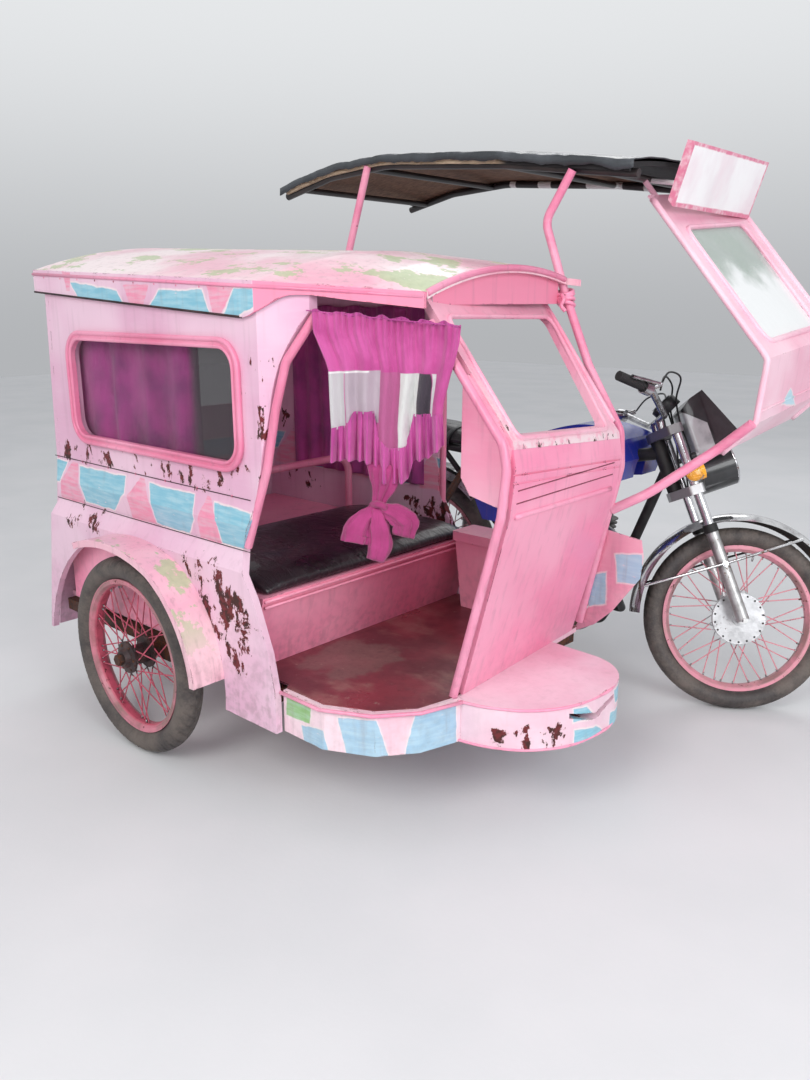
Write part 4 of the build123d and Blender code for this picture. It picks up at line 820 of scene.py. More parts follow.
def cowl_material():
    """Black visor above, silver side plates below it."""
    g = Graph("headlamp cowl")
    height = g.along(STEER_BASE, STEER_AXIS)
    ahead = g.along(STEER_BASE, FORK_FORWARD)
    outline = [(0.085, 0.525), (0.085, 0.700), (0.150, 0.640), (0.150, 0.560)]
    plate = g.polygon(ahead, height, outline, 0.001)
    cloud = g.noise(22, 4)
    tone = g.tones(cloud, "1d1e20", "2c2d30")
    tone = g.mix(plate, tone, g.tones(cloud, "bfc1c4", "9fa1a5"))
    return g.finish(tone, 0.3, g.lerp(plate, 0.0, 0.35), [(g.noise(160, 3), 0.0002)], Coat_Weight=0.4)


def canopy_frame_material():
    """Pink posts; the rails under the canopy are black with wraps of white tape."""
    g = Graph("canopy frame")
    cloud = g.noise(6, 3)
    brush = g.noise(16, 4, stretch=(1, 1, 5))
    pink = g.mix(g.span(cloud, 0.36, 0.64), "e57fa2", "ef9fba")
    pink = g.mix(g.span(brush, 0.45, 0.8, 0.0, 0.25), pink, "f6c3d2")
    inside = g.times(g.span(g.y, y_of(-462), y_of(-456)), g.span(g.z, 1.62, 1.63))
    tapes = ((-1000, -940), (-1130, -1100), (-790, -640), (-560, -530))
    wraps = g.any_of([g.band(g.x, x_of(start), x_of(end), 0.003) for start, end in tapes])
    taped = g.times(wraps, g.span(g.y, y_of(200), y_of(210)))
    dark = g.mix(taped, g.tones(cloud, "252325", "3a3231"), "dedcda")
    flakes = g.span(g.noise(30, 6, rough=0.68), 0.70, 0.71)
    tone = g.mix(flakes, g.mix(inside, pink, dark), g.mix(inside, "6b2024", "4a3a34"))
    return g.finish(tone, g.lerp(flakes, 0.36, 0.85), 0.0, [(brush, 0.0006), (g.noise(240, 3), 0.00012)])


def sign_material():
    """A blank white board with a thin pink border, stained by rain."""
    g = Graph("sign")
    u = g.math("ABSOLUTE", g.minus(g.y, y_of(-30)))
    wobble = g.times(g.minus(g.noise(25, 3), 0.5), 0.006)
    u = g.plus(u, wobble)
    v = g.plus(g.z, wobble)
    edge = g.any_of([g.span(u, 0.259, 0.262), g.span(v, 1.579, 1.575), g.span(v, 1.719, 1.723)])
    cloud = g.noise(8, 4, stretch=(1, 1, 0.4))
    tone = g.mix(g.span(cloud, 0.4, 0.75), "fcfafb", "f2e9ed")
    blush = g.times(g.span(g.noise(6, 3, shift=2), 0.45, 0.7), 0.22)
    tone = g.mix(blush, tone, "f0c3d3")
    tone = g.mix(g.times(edge, g.span(g.noise(50, 4), 0.3, 0.6, 0.5, 1.0)), tone, "e3819f")
    return g.finish(tone, 0.4, 0.0, [(g.noise(60, 3), 0.0004)])


looks = {
    "front_wheel": wheel_material(
        "front", ("dc8fa0", "c98e94"), ("c8c8ca", "aeaeb0", 0.34, 0.6), 0.092, ("d98c98", "c47884")
    ),
    "rear_wheel": wheel_material(
        "rear", ("c9858f", "8f5b60"), ("8d8b8a", "5d5a58", 0.4, 0.8), 0.082, ("b98488", "7d5a5c")
    ),
    "sidecar_wheel": wheel_material(
        "sidecar", ("d68294", "b8727c"), ("3b3032", "57423f", 0.5, 0.4), 0.056, ("c4566c", "a04457")
    ),
    "front_fork": fork_material(),
    "handlebar": handlebar_material(),
    "headlamp_cowl": cowl_material(),
    "front_lamps": lamps_material(),
    "front_mudguard": front_guard_material(),
    "bike_frame": black_metal,
    "engine": engine_material(),
    "exhaust": dull_chrome,
    "fuel_tank": blue_paint,
    "side_covers": blue_paint,
    "swingarm": black_metal,
    "rear_shocks": dull_chrome,
    "rear_mudguard": dull_chrome,
    "sidecar_chassis": rusty_steel,
    "sidecar_axle": rusty_steel,
    "sidecar_floor": skirt_paint,
    "roof_panel": roof_paint,
    "rear_panel": body_paint,
    "outer_side_panel": body_paint,
    "inner_side_panel": body_paint,
    "front_panel": strong_paint,
    "windscreen_frame": screen_paint,
    "roof_trim": valance_paint,
    "nose_step": nose_paint,
    "seat_box": kick_paint,
    "jump_seat_box": kick_paint,
    "sidecar_mudguard": guard_paint,
    "side_window_frame": tube_paint,
    "cabin_tubes": tube_paint,
    "canopy_frame": canopy_frame_material(),
    "windshield_panel": shield_paint,
    "window_glass": pane_glass,
    "sign_board": sign_material(),
    "leg_guard": leg_paint,
}
for node_name, look in looks.items():
    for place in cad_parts[node_name].material_slots:
        place.link = "OBJECT"
        place.material = look


# Mesh helpers


def new_object(name, points, faces, body, material, slot_name=None, smooth=True):
    """A mesh object that rides on a body; its slot_name is not used."""
    mesh = bpy.data.meshes.new(name)
    mesh.from_pydata([tuple(p) for p in points], [], faces)
    mesh.validate()
    if smooth:
        mesh.polygons.foreach_set("use_smooth", [True] * len(mesh.polygons))
    made = bpy.data.objects.new(name, mesh)
    bpy.context.scene.collection.objects.link(made)
    mesh.materials.append(material)
    if body:
        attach(made, body)
    return made


def even_normals(made):
    """Turns the faces of a closed mesh outwards."""
    cleaner = bmesh.new()
    cleaner.from_mesh(made.data)
    bmesh.ops.recalc_face_normals(cleaner, faces=cleaner.faces)
    cleaner.to_mesh(made.data)
    cleaner.free()
    return made


def curve_points(points, steps=6, closed=False):
    """A smooth line through points."""
    points = [Vector(p) for p in points]
    count = len(points)
    result = []
    last = count if closed else count - 1
    for i in range(last):
        p0 = points[(i - 1) % count] if closed or i > 0 else points[0]
        p1, p2 = points[i % count], points[(i + 1) % count]
        p3 = points[(i + 2) % count] if closed or i + 2 < count else points[-1]
        for k in range(steps):
            t = k / steps
            square = (2 * p0 - 5 * p1 + 4 * p2 - p3) * t * t
            cube = (3 * p1 - p0 - 3 * p2 + p3) * t**3
            result.append(0.5 * (2 * p1 + (p2 - p0) * t + square + cube))
    if not closed:
        result.append(points[-1])
    return result


def tube_mesh(points, radius, sides, closed=False):
    """Vertices and faces of a round tube along points."""
    verts, faces = [], []
    count = len(points)
    frame_up = None
    for i, point in enumerate(points):
        before = points[(i - 1) % count] if closed or i else point
        after = points[(i + 1) % count] if closed or i + 1 < count else point
        tangent = (after - before).normalized()
        if frame_up is None:
            frame_up = tangent.orthogonal().normalized()
        frame_up = (frame_up - tangent * frame_up.dot(tangent)).normalized()
        across = tangent.cross(frame_up)
        for angle in angles(sides):
            verts.append(point + (frame_up * math.cos(angle) + across * math.sin(angle)) * radius)
    rings = count if closed else count - 1
    for i in range(rings):
        j = (i + 1) % count
        for k in range(sides):
            m = (k + 1) % sides
            faces.append((i * sides + k, i * sides + m, j * sides + m, j * sides + k))
    if not closed:
        faces.append(tuple(range(sides - 1, -1, -1)))
        faces.append(tuple((count - 1) * sides + k for k in range(sides)))
    return verts, faces


def joined(name, parts, body, material, slot_name=None, smooth=True):
    """One object from several (vertices, faces) lists."""
    verts, faces = [], []
    for part_verts, part_faces in parts:
        base = len(verts)
        verts += list(part_verts)
        faces += [tuple(base + i for i in face) for face in part_faces]
    return even_normals(new_object(name, verts, faces, body, material, slot_name, smooth))


def trim(name, parts, material, slot_name="pink"):
    """Small pieces fixed to the chassis, as one object."""
    return joined(name, parts, "chassis_body", material, slot_name)


def disc_part(centre, axis, radius, depth, sides=12, dome=0.0):
    """A short round or hexagonal boss, such as a rivet, bolt head or nut."""
    axis = Vector(axis).normalized()
    first = axis.orthogonal().normalized()
    second = axis.cross(first)
    verts, faces = [], []
    levels = [(radius, 0.0), (radius, depth * (1 - dome)), (radius * 0.62, depth)]
    for size, rise in levels:
        for angle in angles(sides):
            outward = (first * math.cos(angle) + second * math.sin(angle)) * size
            verts.append(Vector(centre) + axis * rise + outward)
    for level in range(2):
        for k in range(sides):
            m = (k + 1) % sides
            a, b = level * sides, (level + 1) * sides
            faces.append((a + k, a + m, b + m, b + k))
    faces.append(tuple(2 * sides + k for k in range(sides)))
    faces.append(tuple(sides - 1 - k for k in range(sides)))
    return verts, faces


def grid_mesh(name, place, across, down, body, material, slot_name=None):
    """A sheet whose points are place(u, v), with u and v from 0 to 1."""
    verts = [place(i / across, j / down) for j in range(down + 1) for i in range(across + 1)]
    row = across + 1
    faces = [
        (j * row + i, j * row + i + 1, (j + 1) * row + i + 1, (j + 1) * row + i)
        for j in range(down)
        for i in range(across)
    ]
    return new_object(name, verts, faces, body, material, slot_name)


def thicken(made, thickness, offset=0.0):
    """Gives a sheet its thickness."""
    solid = made.modifiers.new("thickness", "SOLIDIFY")
    solid.thickness = thickness
    solid.offset = offset
    return made


def between(table, t):
    """Linear interpolation in a table of (position, value, ...) rows."""
    for a, b in zip(table, table[1:]):
        if t <= b[0]:
            f = (t - a[0]) / (b[0] - a[0])
            return [x + (y - x) * f for x, y in zip(a[1:], b[1:])]
    return list(table[-1][1:])


def share_along(rows, share):
    """Linear interpolation between evenly spaced rows, for a share from 0 to 1."""
    place = share * (len(rows) - 1)
    i = min(int(place), len(rows) - 2)
    return [a + (b - a) * (place - i) for a, b in zip(rows[i], rows[i + 1])]


# Tyres with tread


def arc(start, middle, end, steps):
    """Points on the circle through three points."""
    (ax, ay), (bx, by), (cx, cy) = start, middle, end
    a, b, c = (x**2 + y**2 for x, y in (start, middle, end))
    d = 2 * (ax * (by - cy) + bx * (cy - ay) + cx * (ay - by))
    ux = (a * (by - cy) + b * (cy - ay) + c * (ay - by)) / d
    uy = (a * (cx - bx) + b * (ax - cx) + c * (bx - ax)) / d
    size = math.hypot(ax - ux, ay - uy)
    first = math.atan2(ay - uy, ax - ux)
    last = math.atan2(cy - uy, cx - ux)
    if abs(last - first) > math.pi:
        last += 2 * math.pi if last < first else -2 * math.pi
    turns = [first + (last - first) * k / steps for k in range(steps + 1)]
    return [(ux + size * math.cos(turn), uy + size * math.sin(turn)) for turn in turns]


# Length of one repeat of the tread
TREAD_PITCH = 0.0392


def street_tread(s, w):
    """Depth at s along and w across: diagonal grooves on both sides of a zigzag middle groove."""
    zig = 0.0045 * math.sin(2 * math.pi * s / TREAD_PITCH)
    middle = abs(w - zig) < 0.0021
    slant = (s + abs(w) * 0.9 + (TREAD_PITCH / 2 if w > 0 else 0)) % TREAD_PITCH
    block = slant < 0.0058 and abs(w) > 0.006
    small = (slant - 0.0200) % TREAD_PITCH < 0.0026 and abs(w) > 0.016
    return 0.0035 if middle or block else (0.002 if small else 0.0)


def tyre(wheel, outer, flange, half):
    """A tyre of the CAD section, with the tread cut in and a raised line on each side."""
    centre, axle, radial = WHEELS[wheel]
    third = axle.cross(radial)
    tread_half, drop, bead = 0.028, 0.010, 0.019
    foot = flange + 0.003
    shoulder = outer - drop
    widest = foot + 0.5 * (shoulder - foot)
    side = arc((bead, foot), (half, widest), (tread_half, shoulder), 9)
    crown = arc((tread_half, shoulder), (0, outer), (-tread_half, shoulder), 22)
    profile = [(-bead, foot), (-bead, flange - 0.008), (bead, flange - 0.008)]
    profile += side + crown[1:-1] + [(-w, r) for w, r in reversed(side)][:-1]
    steps = 480
    verts, faces = [], []
    for angle in angles(steps):
        outward = radial * math.cos(angle) + third * math.sin(angle)
        for w, r in profile:
            depth = 0.0
            if r > shoulder - 0.014:
                depth = street_tread(angle * outer, w)
            elif abs(r - widest) < 0.0035:
                depth = -0.0012
            verts.append(centre + axle * w + outward * (r - depth))
    row = len(profile)
    for i in range(steps):
        j = (i + 1) % steps
        for k in range(row):
            m = (k + 1) % row
            faces.append((i * row + k, j * row + k, j * row + m, i * row + m))
    body = f"wheel_{wheel}_body"
    return even_normals(new_object(f"{wheel}_tyre_tread", verts, faces, body, tyre_rubber, "tyre"))


# Radius over the tread, radius of the rim's flange, half the width
TYRES = {
    "front": (0.300, 0.241, 0.035),
    "rear": (0.302, 0.238, 0.038),
    "sidecar": (0.298, 0.233, 0.038),
}
for wheel, measures in TYRES.items():
    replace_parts(tyre(wheel, *measures), f"{wheel}_tyre")


def nipples(wheel, rim_radius, crossing):
    """Spoke nipples and the valve; crossing is the lean of the spokes in degrees."""
    centre, axle, radial = WHEELS[wheel]
    third = axle.cross(radial)
    rim = rim_radius + 0.002
    parts = []
    for index in range(36):
        lead = 1 if index % 4 < 2 else -1
        angle = math.radians(360 / 36 * index + crossing * lead)
        outward = radial * math.cos(angle) + third * math.sin(angle)
        side_shift = axle * (0.004 if index % 2 else -0.004)
        parts.append(disc_part(centre + side_shift + outward * rim, -outward, 0.0032, 0.014, 8, 0.3))
    valve = radial * math.cos(0.6) + third * math.sin(0.6)
    parts.append(disc_part(centre + valve * rim, -valve, 0.0035, 0.030, 10, 0.2))
    joined(f"{wheel}_nipples", parts, f"wheel_{wheel}_body", dull_chrome, "steel_rim")


nipples("front", 0.222, 42.0)
nipples("rear", 0.219, 42.0)
nipples("sidecar", 0.214, 48.0)


# Cushions


# Pressure and length of the cloth simulation
PRESSURE = 3.0
CLOTH_FRAMES = 20


def swollen_points(made):
    """Where the points of a closed mesh go when it is blown up as cloth, without gravity."""
    settings = made.modifiers.new("cloth", "CLOTH").settings
    settings.use_pressure = True
    settings.uniform_pressure_force = PRESSURE
    settings.tension_stiffness = 12
    settings.compression_stiffness = 12
    settings.shear_stiffness = 4
    settings.bending_stiffness = 0.4
    settings.effector_weights.gravity = 0.0
    for number in range(1, CLOTH_FRAMES + 1):
        bpy.context.scene.frame_set(number)
    depsgraph = bpy.context.evaluated_depsgraph_get()
    moved = [v.co.copy() for v in made.evaluated_get(depsgraph).to_mesh().vertices]
    made.modifiers.clear()
    return moved


def puffed(form, name, voxel, cap, slack, material, slot_name):
    """A stuffed shape: the closed form is remeshed and swells as cloth, held within cap."""
    made = even_normals(new_object(name, *form, None, material, slot_name))
    bpy.context.view_layer.objects.active = made
    remesh = made.modifiers.new("remesh", "REMESH")
    remesh.mode = "VOXEL"
    remesh.voxel_size = voxel
    depsgraph = bpy.context.evaluated_depsgraph_get()
    mesh = bpy.data.meshes.new_from_object(made.evaluated_get(depsgraph))
    made.modifiers.clear()
    made.data = mesh
    if not mesh.materials:
        mesh.materials.append(material)
    start = [v.co.copy() for v in mesh.vertices]
    for vertex, home, gone in zip(mesh.vertices, start, swollen_points(made)):
        step = gone - home
        if step.length > cap:
            step *= cap / step.length
        vertex.co = home + step
    bpy.context.scene.frame_set(1)
    mesh.polygons.foreach_set("use_smooth", [True] * len(mesh.polygons))
    for vertex in mesh.vertices:
        place = vertex.co
        ripple = wander(place.x * 9, place.y * 9, place.z * 9)
        vertex.co = place + Vector((0, 0, slack * ripple)) * (1 if place.z > start[0].z else 0.4)
    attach(made, "chassis_body")
    return made


def subdivided(made):
    """Rounds a cushion by one level of subdivision."""
    smoother = made.modifiers.new("subdivision", "SUBSURF")
    smoother.levels = smoother.render_levels = 1


def pad_form(rows, columns, surface, upper, lower):
    """A closed form between two levels of surface(u, v, level) on one grid."""
    verts, faces = [], []
    for level in (upper, lower):
        for j in range(rows + 1):
            for i in range(columns + 1):
                verts.append(surface(i / columns, j / rows, level))
    row = columns + 1
    base = row * (rows + 1)
    for j in range(rows):
        for i in range(columns):
            a = j * row + i
            faces.append((a, a + 1, a + row + 1, a + row))
            faces.append((base + a, base + a + row, base + a + row + 1, base + a + 1))
    rim = list(range(row))
    rim += [j * row + columns for j in range(1, rows + 1)]
    rim += [rows * row + i for i in range(columns - 1, -1, -1)]
    rim += [j * row for j in range(rows - 1, 0, -1)]
    for a, b in zip(rim, rim[1:] + rim[:1]):
        faces.append((a, base + a, base + b, b))
    return verts, faces


bench_low, bench_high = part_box("seat_cushion")
BENCH_MARGIN = 0.006


def bench_point(u, v, top):
    """The bench's cushion, crowned, with two dips where people sit."""
    x = bench_low.x + BENCH_MARGIN + (bench_high.x - bench_low.x - 2 * BENCH_MARGIN) * u
    y = bench_low.y + BENCH_MARGIN + (bench_high.y - bench_low.y - 2 * BENCH_MARGIN) * v
    if not top:
        return Vector((x, y, bench_low.z + 0.001))
    crown = 1 - (2 * u - 1) ** 6 * 0.5 - (2 * v - 1) ** 8 * 0.3
    dips = [0.010 * math.exp(-((u - 0.55) ** 2) / 0.06 - ((v - seat) ** 2) / 0.03) for seat in (0.3, 0.72)]
    return Vector((x, y, bench_low.z + 0.047 * crown + 0.002 - sum(dips)))


form = pad_form(24, 16, bench_point, True, False)
bench = puffed(form, "bench_cushion", 0.008, 0.006, 0.002, bench_vinyl, "bench")
for vertex in bench.data.vertices:
    vertex.co.z = max(vertex.co.z, bench_low.z + 0.0003)
subdivided(bench)
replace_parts(bench, "seat_cushion")

saddle_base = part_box("bike_seat")[0].z
# The saddle from its nose to its tail: layout x, underside, top
SADDLE_ROWS = [
    (-838, 757, 790), (-900, 759, 800), (-1000, 763, 800), (-1080, 766, 806), (-1140, 768, 826),
    (-1200, 771, 840), (-1320, 776, 847), (-1420, 780, 846), (-1450, 782, 828),
]


def saddle_point(u, v, top):
    """The saddle narrows to its nose; its top is crowned and steps up for the passenger."""
    x, low, high = share_along(SADDLE_ROWS, u)
    half = 78 + 36 * min(1.0, u * 1.6) - 10 * max(0.0, u - 0.85) / 0.15
    y = half * (2 * v - 1)
    if not top:
        return at(x, y * 0.94, low + 2)
    crown = (1 - abs(2 * v - 1) ** 3.2) * 0.72 + 0.28
    return at(x, y, low + (high - low - 5) * crown)


form = pad_form(20, 28, saddle_point, True, False)
saddle = puffed(form, "saddle", 0.006, 0.005, 0.001, saddle_vinyl, "saddle")
for vertex in saddle.data.vertices:
    under = saddle_base + (x_of(-838) - vertex.co.x) * 26 / 612
    vertex.co.z = max(vertex.co.z, under + 0.0005)
subdivided(saddle)
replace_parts(saddle, "bike_seat")

# Piping along the saddle's edge and a strap across its step
piping_line = []
for side in (-1, 1):
    for k in range(21):
        u = k / 20 if side < 0 else 1 - k / 20
        point = saddle_point(u, 0.02 if side < 0 else 0.98, False)
        piping_line.append(point + Vector((0, side * 0.004, 0.016)))
piping = tube_mesh(curve_points(piping_line, 2, True), 0.003, 8, True)
trim("saddle_piping", [piping], saddle_vinyl, "saddle")
strap_line = [saddle_point(0.52, k / 12, True) + Vector((0, 0, 0.007)) for k in range(13)]
strap_ends = [strap_line[0] - Vector((0, 0.003, 0.03)), strap_line[-1] + Vector((0, 0.003, -0.03))]
strap_line = [strap_ends[0], *strap_line, strap_ends[1]]
STRAP_WIDTH = 0.026


def strap_point(u, v):
    """The strap, across the saddle for u and over its width for v."""
    return Vector(share_along(strap_line, u)) + Vector(((v - 0.5) * STRAP_WIDTH, 0, 0))


thicken(grid_mesh("saddle_strap", strap_point, 42, 3, "chassis_body", black_plastic, "saddle"), 0.003, 1.0)

# Canopy: a board on the rails with a vinyl sheet pulled over it

# Layout x and height along its middle, from the rear
CANOPY = [(-1650, 1716), (-1420, 1764), (-1147, 1780), (-657, 1738), (-215, 1676)]
CANOPY_MIDDLE = -97.5
# Rear end, length and half width of the sheet and of the board
SHEET = (-1652, 1439, 382)
BOARD = (-1642, 1420, 372)
# Share of the sheet's half width that is turned down at the edge
TURNED = 0.06


def canopy_height(x):
    """The height of the canopy's middle line at layout x."""
    for (x0, z0), (x1, z1) in zip(CANOPY, CANOPY[1:]):
        if x <= x1:
            return z0 + (z1 - z0) * (x - x0) / (x1 - x0)
    return CANOPY[-1][1]


def canopy_surface(x, y, drop=0.0):
    """The crowned surface of the canopy, in layout millimetres."""
    edge = (y + 100) / 380
    crown = 26 * (1 - min(1.0, edge * edge))
    smooth = sum(canopy_height(x + step) for step in (-60, -30, 0, 30, 60)) / 5
    return at(x, y, smooth + crown - drop)


def canopy_sheet(u, v):
    """The sheet over the board, rippled, with a ragged edge turned down."""
    rear, length, half = SHEET
    x = rear + length * u
    reach = (2 * v - 1) * (1 + TURNED)
    y = CANOPY_MIDDLE + half * max(-1.0, min(1.0, reach))
    rag = 8 * wander(x / 75, 3.1, 0) + 3 * wander(x / 16, 8.1, 0)
    fold = max(0.0, abs(reach) - 1.0) / TURNED
    ripple = 6.0 * wander(x / 90, y / 130, 0.4) + 2.4 * wander(x / 26, y / 60, 4)
    low = canopy_surface(x, y, 3 + max(-2.5, -ripple))
    low.z -= fold * (24 + rag) / 1000
    low.y += math.copysign(0.002 * fold, reach)
    return low


canopy_tarp = grid_mesh("canopy_sheet", canopy_sheet, 180, 72, "chassis_body", tarp_vinyl, "tarp")
thicken(canopy_tarp, 0.0035, -1.0)


def board_surface(u, v, drop):
    """The board under the sheet, with a slightly wavy edge."""
    rear, length, half = BOARD
    x = rear + length * u
    half += 5 * wander(x / 120, 1.5, 0)
    return canopy_surface(x, CANOPY_MIDDLE + half * (2 * v - 1), drop)


form = pad_form(24, 48, board_surface, 12, 25)
canopy_board = joined("canopy_board", [form], "chassis_body", board_wood, "roof", smooth=False)
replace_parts(canopy_tarp, "canopy_roof")
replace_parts(canopy_board, "canopy_roof")

# Batten along the near and far edge of the board
battens = []
for side in (-1, 1):
    line = []
    for k in range(41):
        drop = 30 + 2 * wander(k * 0.7, side, 0)
        line.append(canopy_surface(-1630 + 1400 * k / 40, CANOPY_MIDDLE + side * 366, drop))
    battens.append(tube_mesh(line, 0.0085, 4))
joined("canopy_battens", battens, "chassis_body", board_edge, "roof", smooth=False)

# Curtains


# The way of the door curtain's plane in layout x and y
CURTAIN_WAY = (0.7825, 0.6226)


def plane_point(s, z, off=0.0):
    """A point on the door curtain's plane: s along it from its rear top corner, off outwards."""
    way_x, way_y = CURTAIN_WAY
    return at(-545 + way_x * s + way_y * off, -1338 + way_y * s - way_x * off, z)


# Rows of the curtain: share of its drop, rear edge (s, z), front edge (s, z)
CURTAIN_ROWS = [
    (0.0, 0, 1283, 343, 1252),
    (0.16, 2, 1240, 340, 1210),
    (0.38, 30, 1172, 330, 1160),
    (0.46, 36, 1150, 322, 1130),
    (0.8, 38, 1060, 306, 1052),
    (1.0, 40, 1010, 304, 1020),
]
# Lower edges of the band and of the ruffle: share across, height
BAND_EDGE = [
    (0.0, 1012), (0.14, 1018), (0.2, 1050), (0.38, 1052), (0.42, 990), (0.52, 962), (0.66, 968),
    (0.7, 1000), (0.74, 1046), (1.0, 1052),
]
RUFFLE_EDGE = [
    (0.0, 936), (0.14, 940), (0.3, 938), (0.4, 925), (0.46, 888), (0.6, 884), (0.68, 892),
    (0.73, 940), (0.86, 950), (1.0, 985),
]
CLOTH_THICKNESS = 0.0012


def cloth_piece(name, point, across, down, material):
    """One cloth of a curtain."""
    return grid_mesh(name, point, across, down, "chassis_body", material, "cloth")


def curtain_fold(u, v):
    """Gathers: many small ones at the string, fewer and deeper ones below."""
    tight = math.sin(u * 2 * math.pi * 21 + 2 * wander(u * 9, 0.2, v))
    loose = math.sin(u * 2 * math.pi * 6.3 + 1.3 + 1.5 * wander(u * 4, 3.2, v * 0.8))
    gathers = 4.5 * tight * max(0.0, 1 - v * 2.2) + 9 * loose * min(1.0, 0.35 + v * 1.3)
    return gathers + 3 * wander(u * 7, v * 4, 5.0)


def past_post(u):
    """How far the curtain's front edge stands off to pass the windscreen's post."""
    return 40 * min(1.0, max(0.0, (u - 0.66) / 0.27)) ** 2


def curtain_point(u, v):
    """The curtain from its string down to the lower edge of its band."""
    rear_s, rear_z, front_s, front_z = between(CURTAIN_ROWS, v)
    s = rear_s + (front_s - rear_s) * u
    top = 1283 - 25 * u
    row_z = rear_z + (front_z - rear_z) * u
    lowest = between(BAND_EDGE, u)[0]
    full = between(CURTAIN_ROWS, 1.0)
    full_z = full[1] + (full[3] - full[1]) * u
    z = top - (top - row_z) * (top - lowest) / (top - full_z)
    sag = 3 * math.sin(u * math.pi * 14) * (1 - v) ** 3
    return plane_point(s, z + sag, 16 + past_post(u) + curtain_fold(u, v))


def curtain_areas(g, tone):
    """The patchwork band: plain grey, white and dark blocks, with a pale hem at the rear."""
    s = g.math("DIVIDE", g.minus(g.x, x_of(-545)), CURTAIN_WAY[0])
    blocks = (
        ("c9c5c8", (0.030, 0.088), (1.010, 1.150)),
        ("b9a9b4", (0.092, 0.165), (1.030, 1.152)),
        ("b55b8d", (0.165, 0.215), (0.950, 1.148)),
        ("d8d8d6", (0.215, 0.262), (0.950, 1.146)),
        ("39303c", (0.262, 0.302), (1.030, 1.146)),
        ("dcd8da", (0.304, 0.318), (1.040, 1.146)),
    )
    wobble = g.times(g.minus(g.noise(14, 2), 0.5), 0.01)
    s = g.plus(s, wobble)
    for colour, (s0, s1), (z0, z1) in blocks:
        tone = g.mix(g.polygon(s, g.z, [(s0, z0), (s1, z0), (s1, z1), (s0, z1)], 0.0012), tone, colour)
    upper_hem = [(0.030, 1.144), (0.150, 1.148), (0.150, 1.152), (0.030, 1.148)]
    return g.mix(g.polygon(s, g.z, upper_hem, 0.001), tone, "eceaea")


band_cloth = fabric("patchwork cloth", "cf5aa2", "b9408a", areas=curtain_areas)
door_cloth = cloth_piece("door_curtain_cloth", curtain_point, 220, 90, band_cloth)
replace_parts(door_cloth, "door_curtain")


def ruffle_point(u, v):
    """The gathered ruffle sewn under the band."""
    start = between(BAND_EDGE, u)[0] + 6
    end = between(RUFFLE_EDGE, u)[0]
    rear_s, _, front_s, _ = between(CURTAIN_ROWS, 1.0)
    s = rear_s + (front_s - rear_s) * u
    s = 170 + (s - 170) * (1 + 0.03 * v)
    wave = math.sin(u * 2 * math.pi * 13 + 1.5 * wander(u * 6, 1.0, 0))
    small = math.sin(u * 2 * math.pi * 34)
    off = 17 + past_post(u) + curtain_fold(u, 1.0) + wave * (3 + 11 * v) + small * 2.2 * (1 - v) + 2
    hem = 3 * wander(u * 11, 2.0, 0) * v
    return plane_point(s, start + (end - start) * v + hem, off)


ruffle = cloth_piece("curtain_ruffle", ruffle_point, 260, 26, magenta_cloth)
thicken(ruffle, CLOTH_THICKNESS)
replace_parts(ruffle, "door_curtain")


def heading_point(u, v):
    """The narrow gathered frill that stands above the string."""
    base = curtain_point(u, 0.0)
    rise = (6 + 5 * wander(u * 23, 0.7, 0)) * v
    lean = 3.5 * math.sin(u * 2 * math.pi * 27 + 2 * wander(u * 8, 4.0, 0)) * v
    return base + (plane_point(0, rise, lean) - plane_point(0, 0, 0))


heading = cloth_piece("curtain_heading", heading_point, 220, 5, magenta_cloth)
thicken(heading, CLOTH_THICKNESS)
thicken(door_cloth, CLOTH_THICKNESS)
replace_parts(heading, "door_curtain")

# The knotted tail of the curtain: cloth gathered into a knot, with three loose ends

# Points along each fold: s, height, distance outwards, half width
TAIL_SPINES = [
    [(170, 930, 6, 34), (163, 886, 12, 29), (154, 852, 16, 16), (148, 826, 18, 11)],
    [(148, 826, 18, 11), (118, 800, 20, 20), (96, 762, 20, 30), (92, 735, 18, 30)],
    [(146, 826, 20, 12), (150, 780, 22, 24), (152, 730, 18, 26), (140, 690, 16, 20)],
    [(150, 826, 20, 12), (190, 812, 22, 22), (222, 790, 22, 28), (214, 752, 18, 24)],
]


def tail_part(spine, number):
    """One loose fold of the tail: a flattened, rippled sleeve of cloth."""
    count, sides = 34, 40
    rows = [share_along(spine, k / count) for k in range(count + 1)]
    verts, faces = [], []
    for k, (s, z, off, wide) in enumerate(rows):
        after, before = rows[min(k + 1, count)], rows[max(k - 1, 0)]
        ds, dz = after[0] - before[0], after[1] - before[1]
        run = math.hypot(ds, dz) or 1
        closing = min(1.0, 0.3 + 0.35 * k, 0.3 + 0.35 * (count - k))
        for angle in angles(sides):
            fold = 1 + 0.24 * math.sin(angle * 5 + number * 1.7 + k * 0.03)
            fold += 0.12 * math.sin(angle * 11 + k * 0.05)
            fold += 0.3 * wander(math.cos(angle) * 1.4, math.sin(angle) * 1.4, k * 0.09 + number)
            a = wide * fold * math.cos(angle)
            b = wide * 0.55 * fold * math.sin(angle) * closing
            verts.append(plane_point(s + a * -dz / run, z + a * ds / run, off + b))
    for k in range(count):
        for m in range(sides):
            n = (m + 1) % sides
            faces.append((k * sides + m, k * sides + n, (k + 1) * sides + n, (k + 1) * sides + m))
    faces.append(tuple(range(sides)))
    faces.append(tuple(count * sides + m for m in range(sides)))
    return verts, faces


def knot_point(angle):
    """A point on the cloth ring round the tail's knot."""
    off = 19 + 13 * math.sin(angle + 0.8)
    return plane_point(150 + 15 * math.cos(angle), 828 + 7 * math.sin(angle), off)


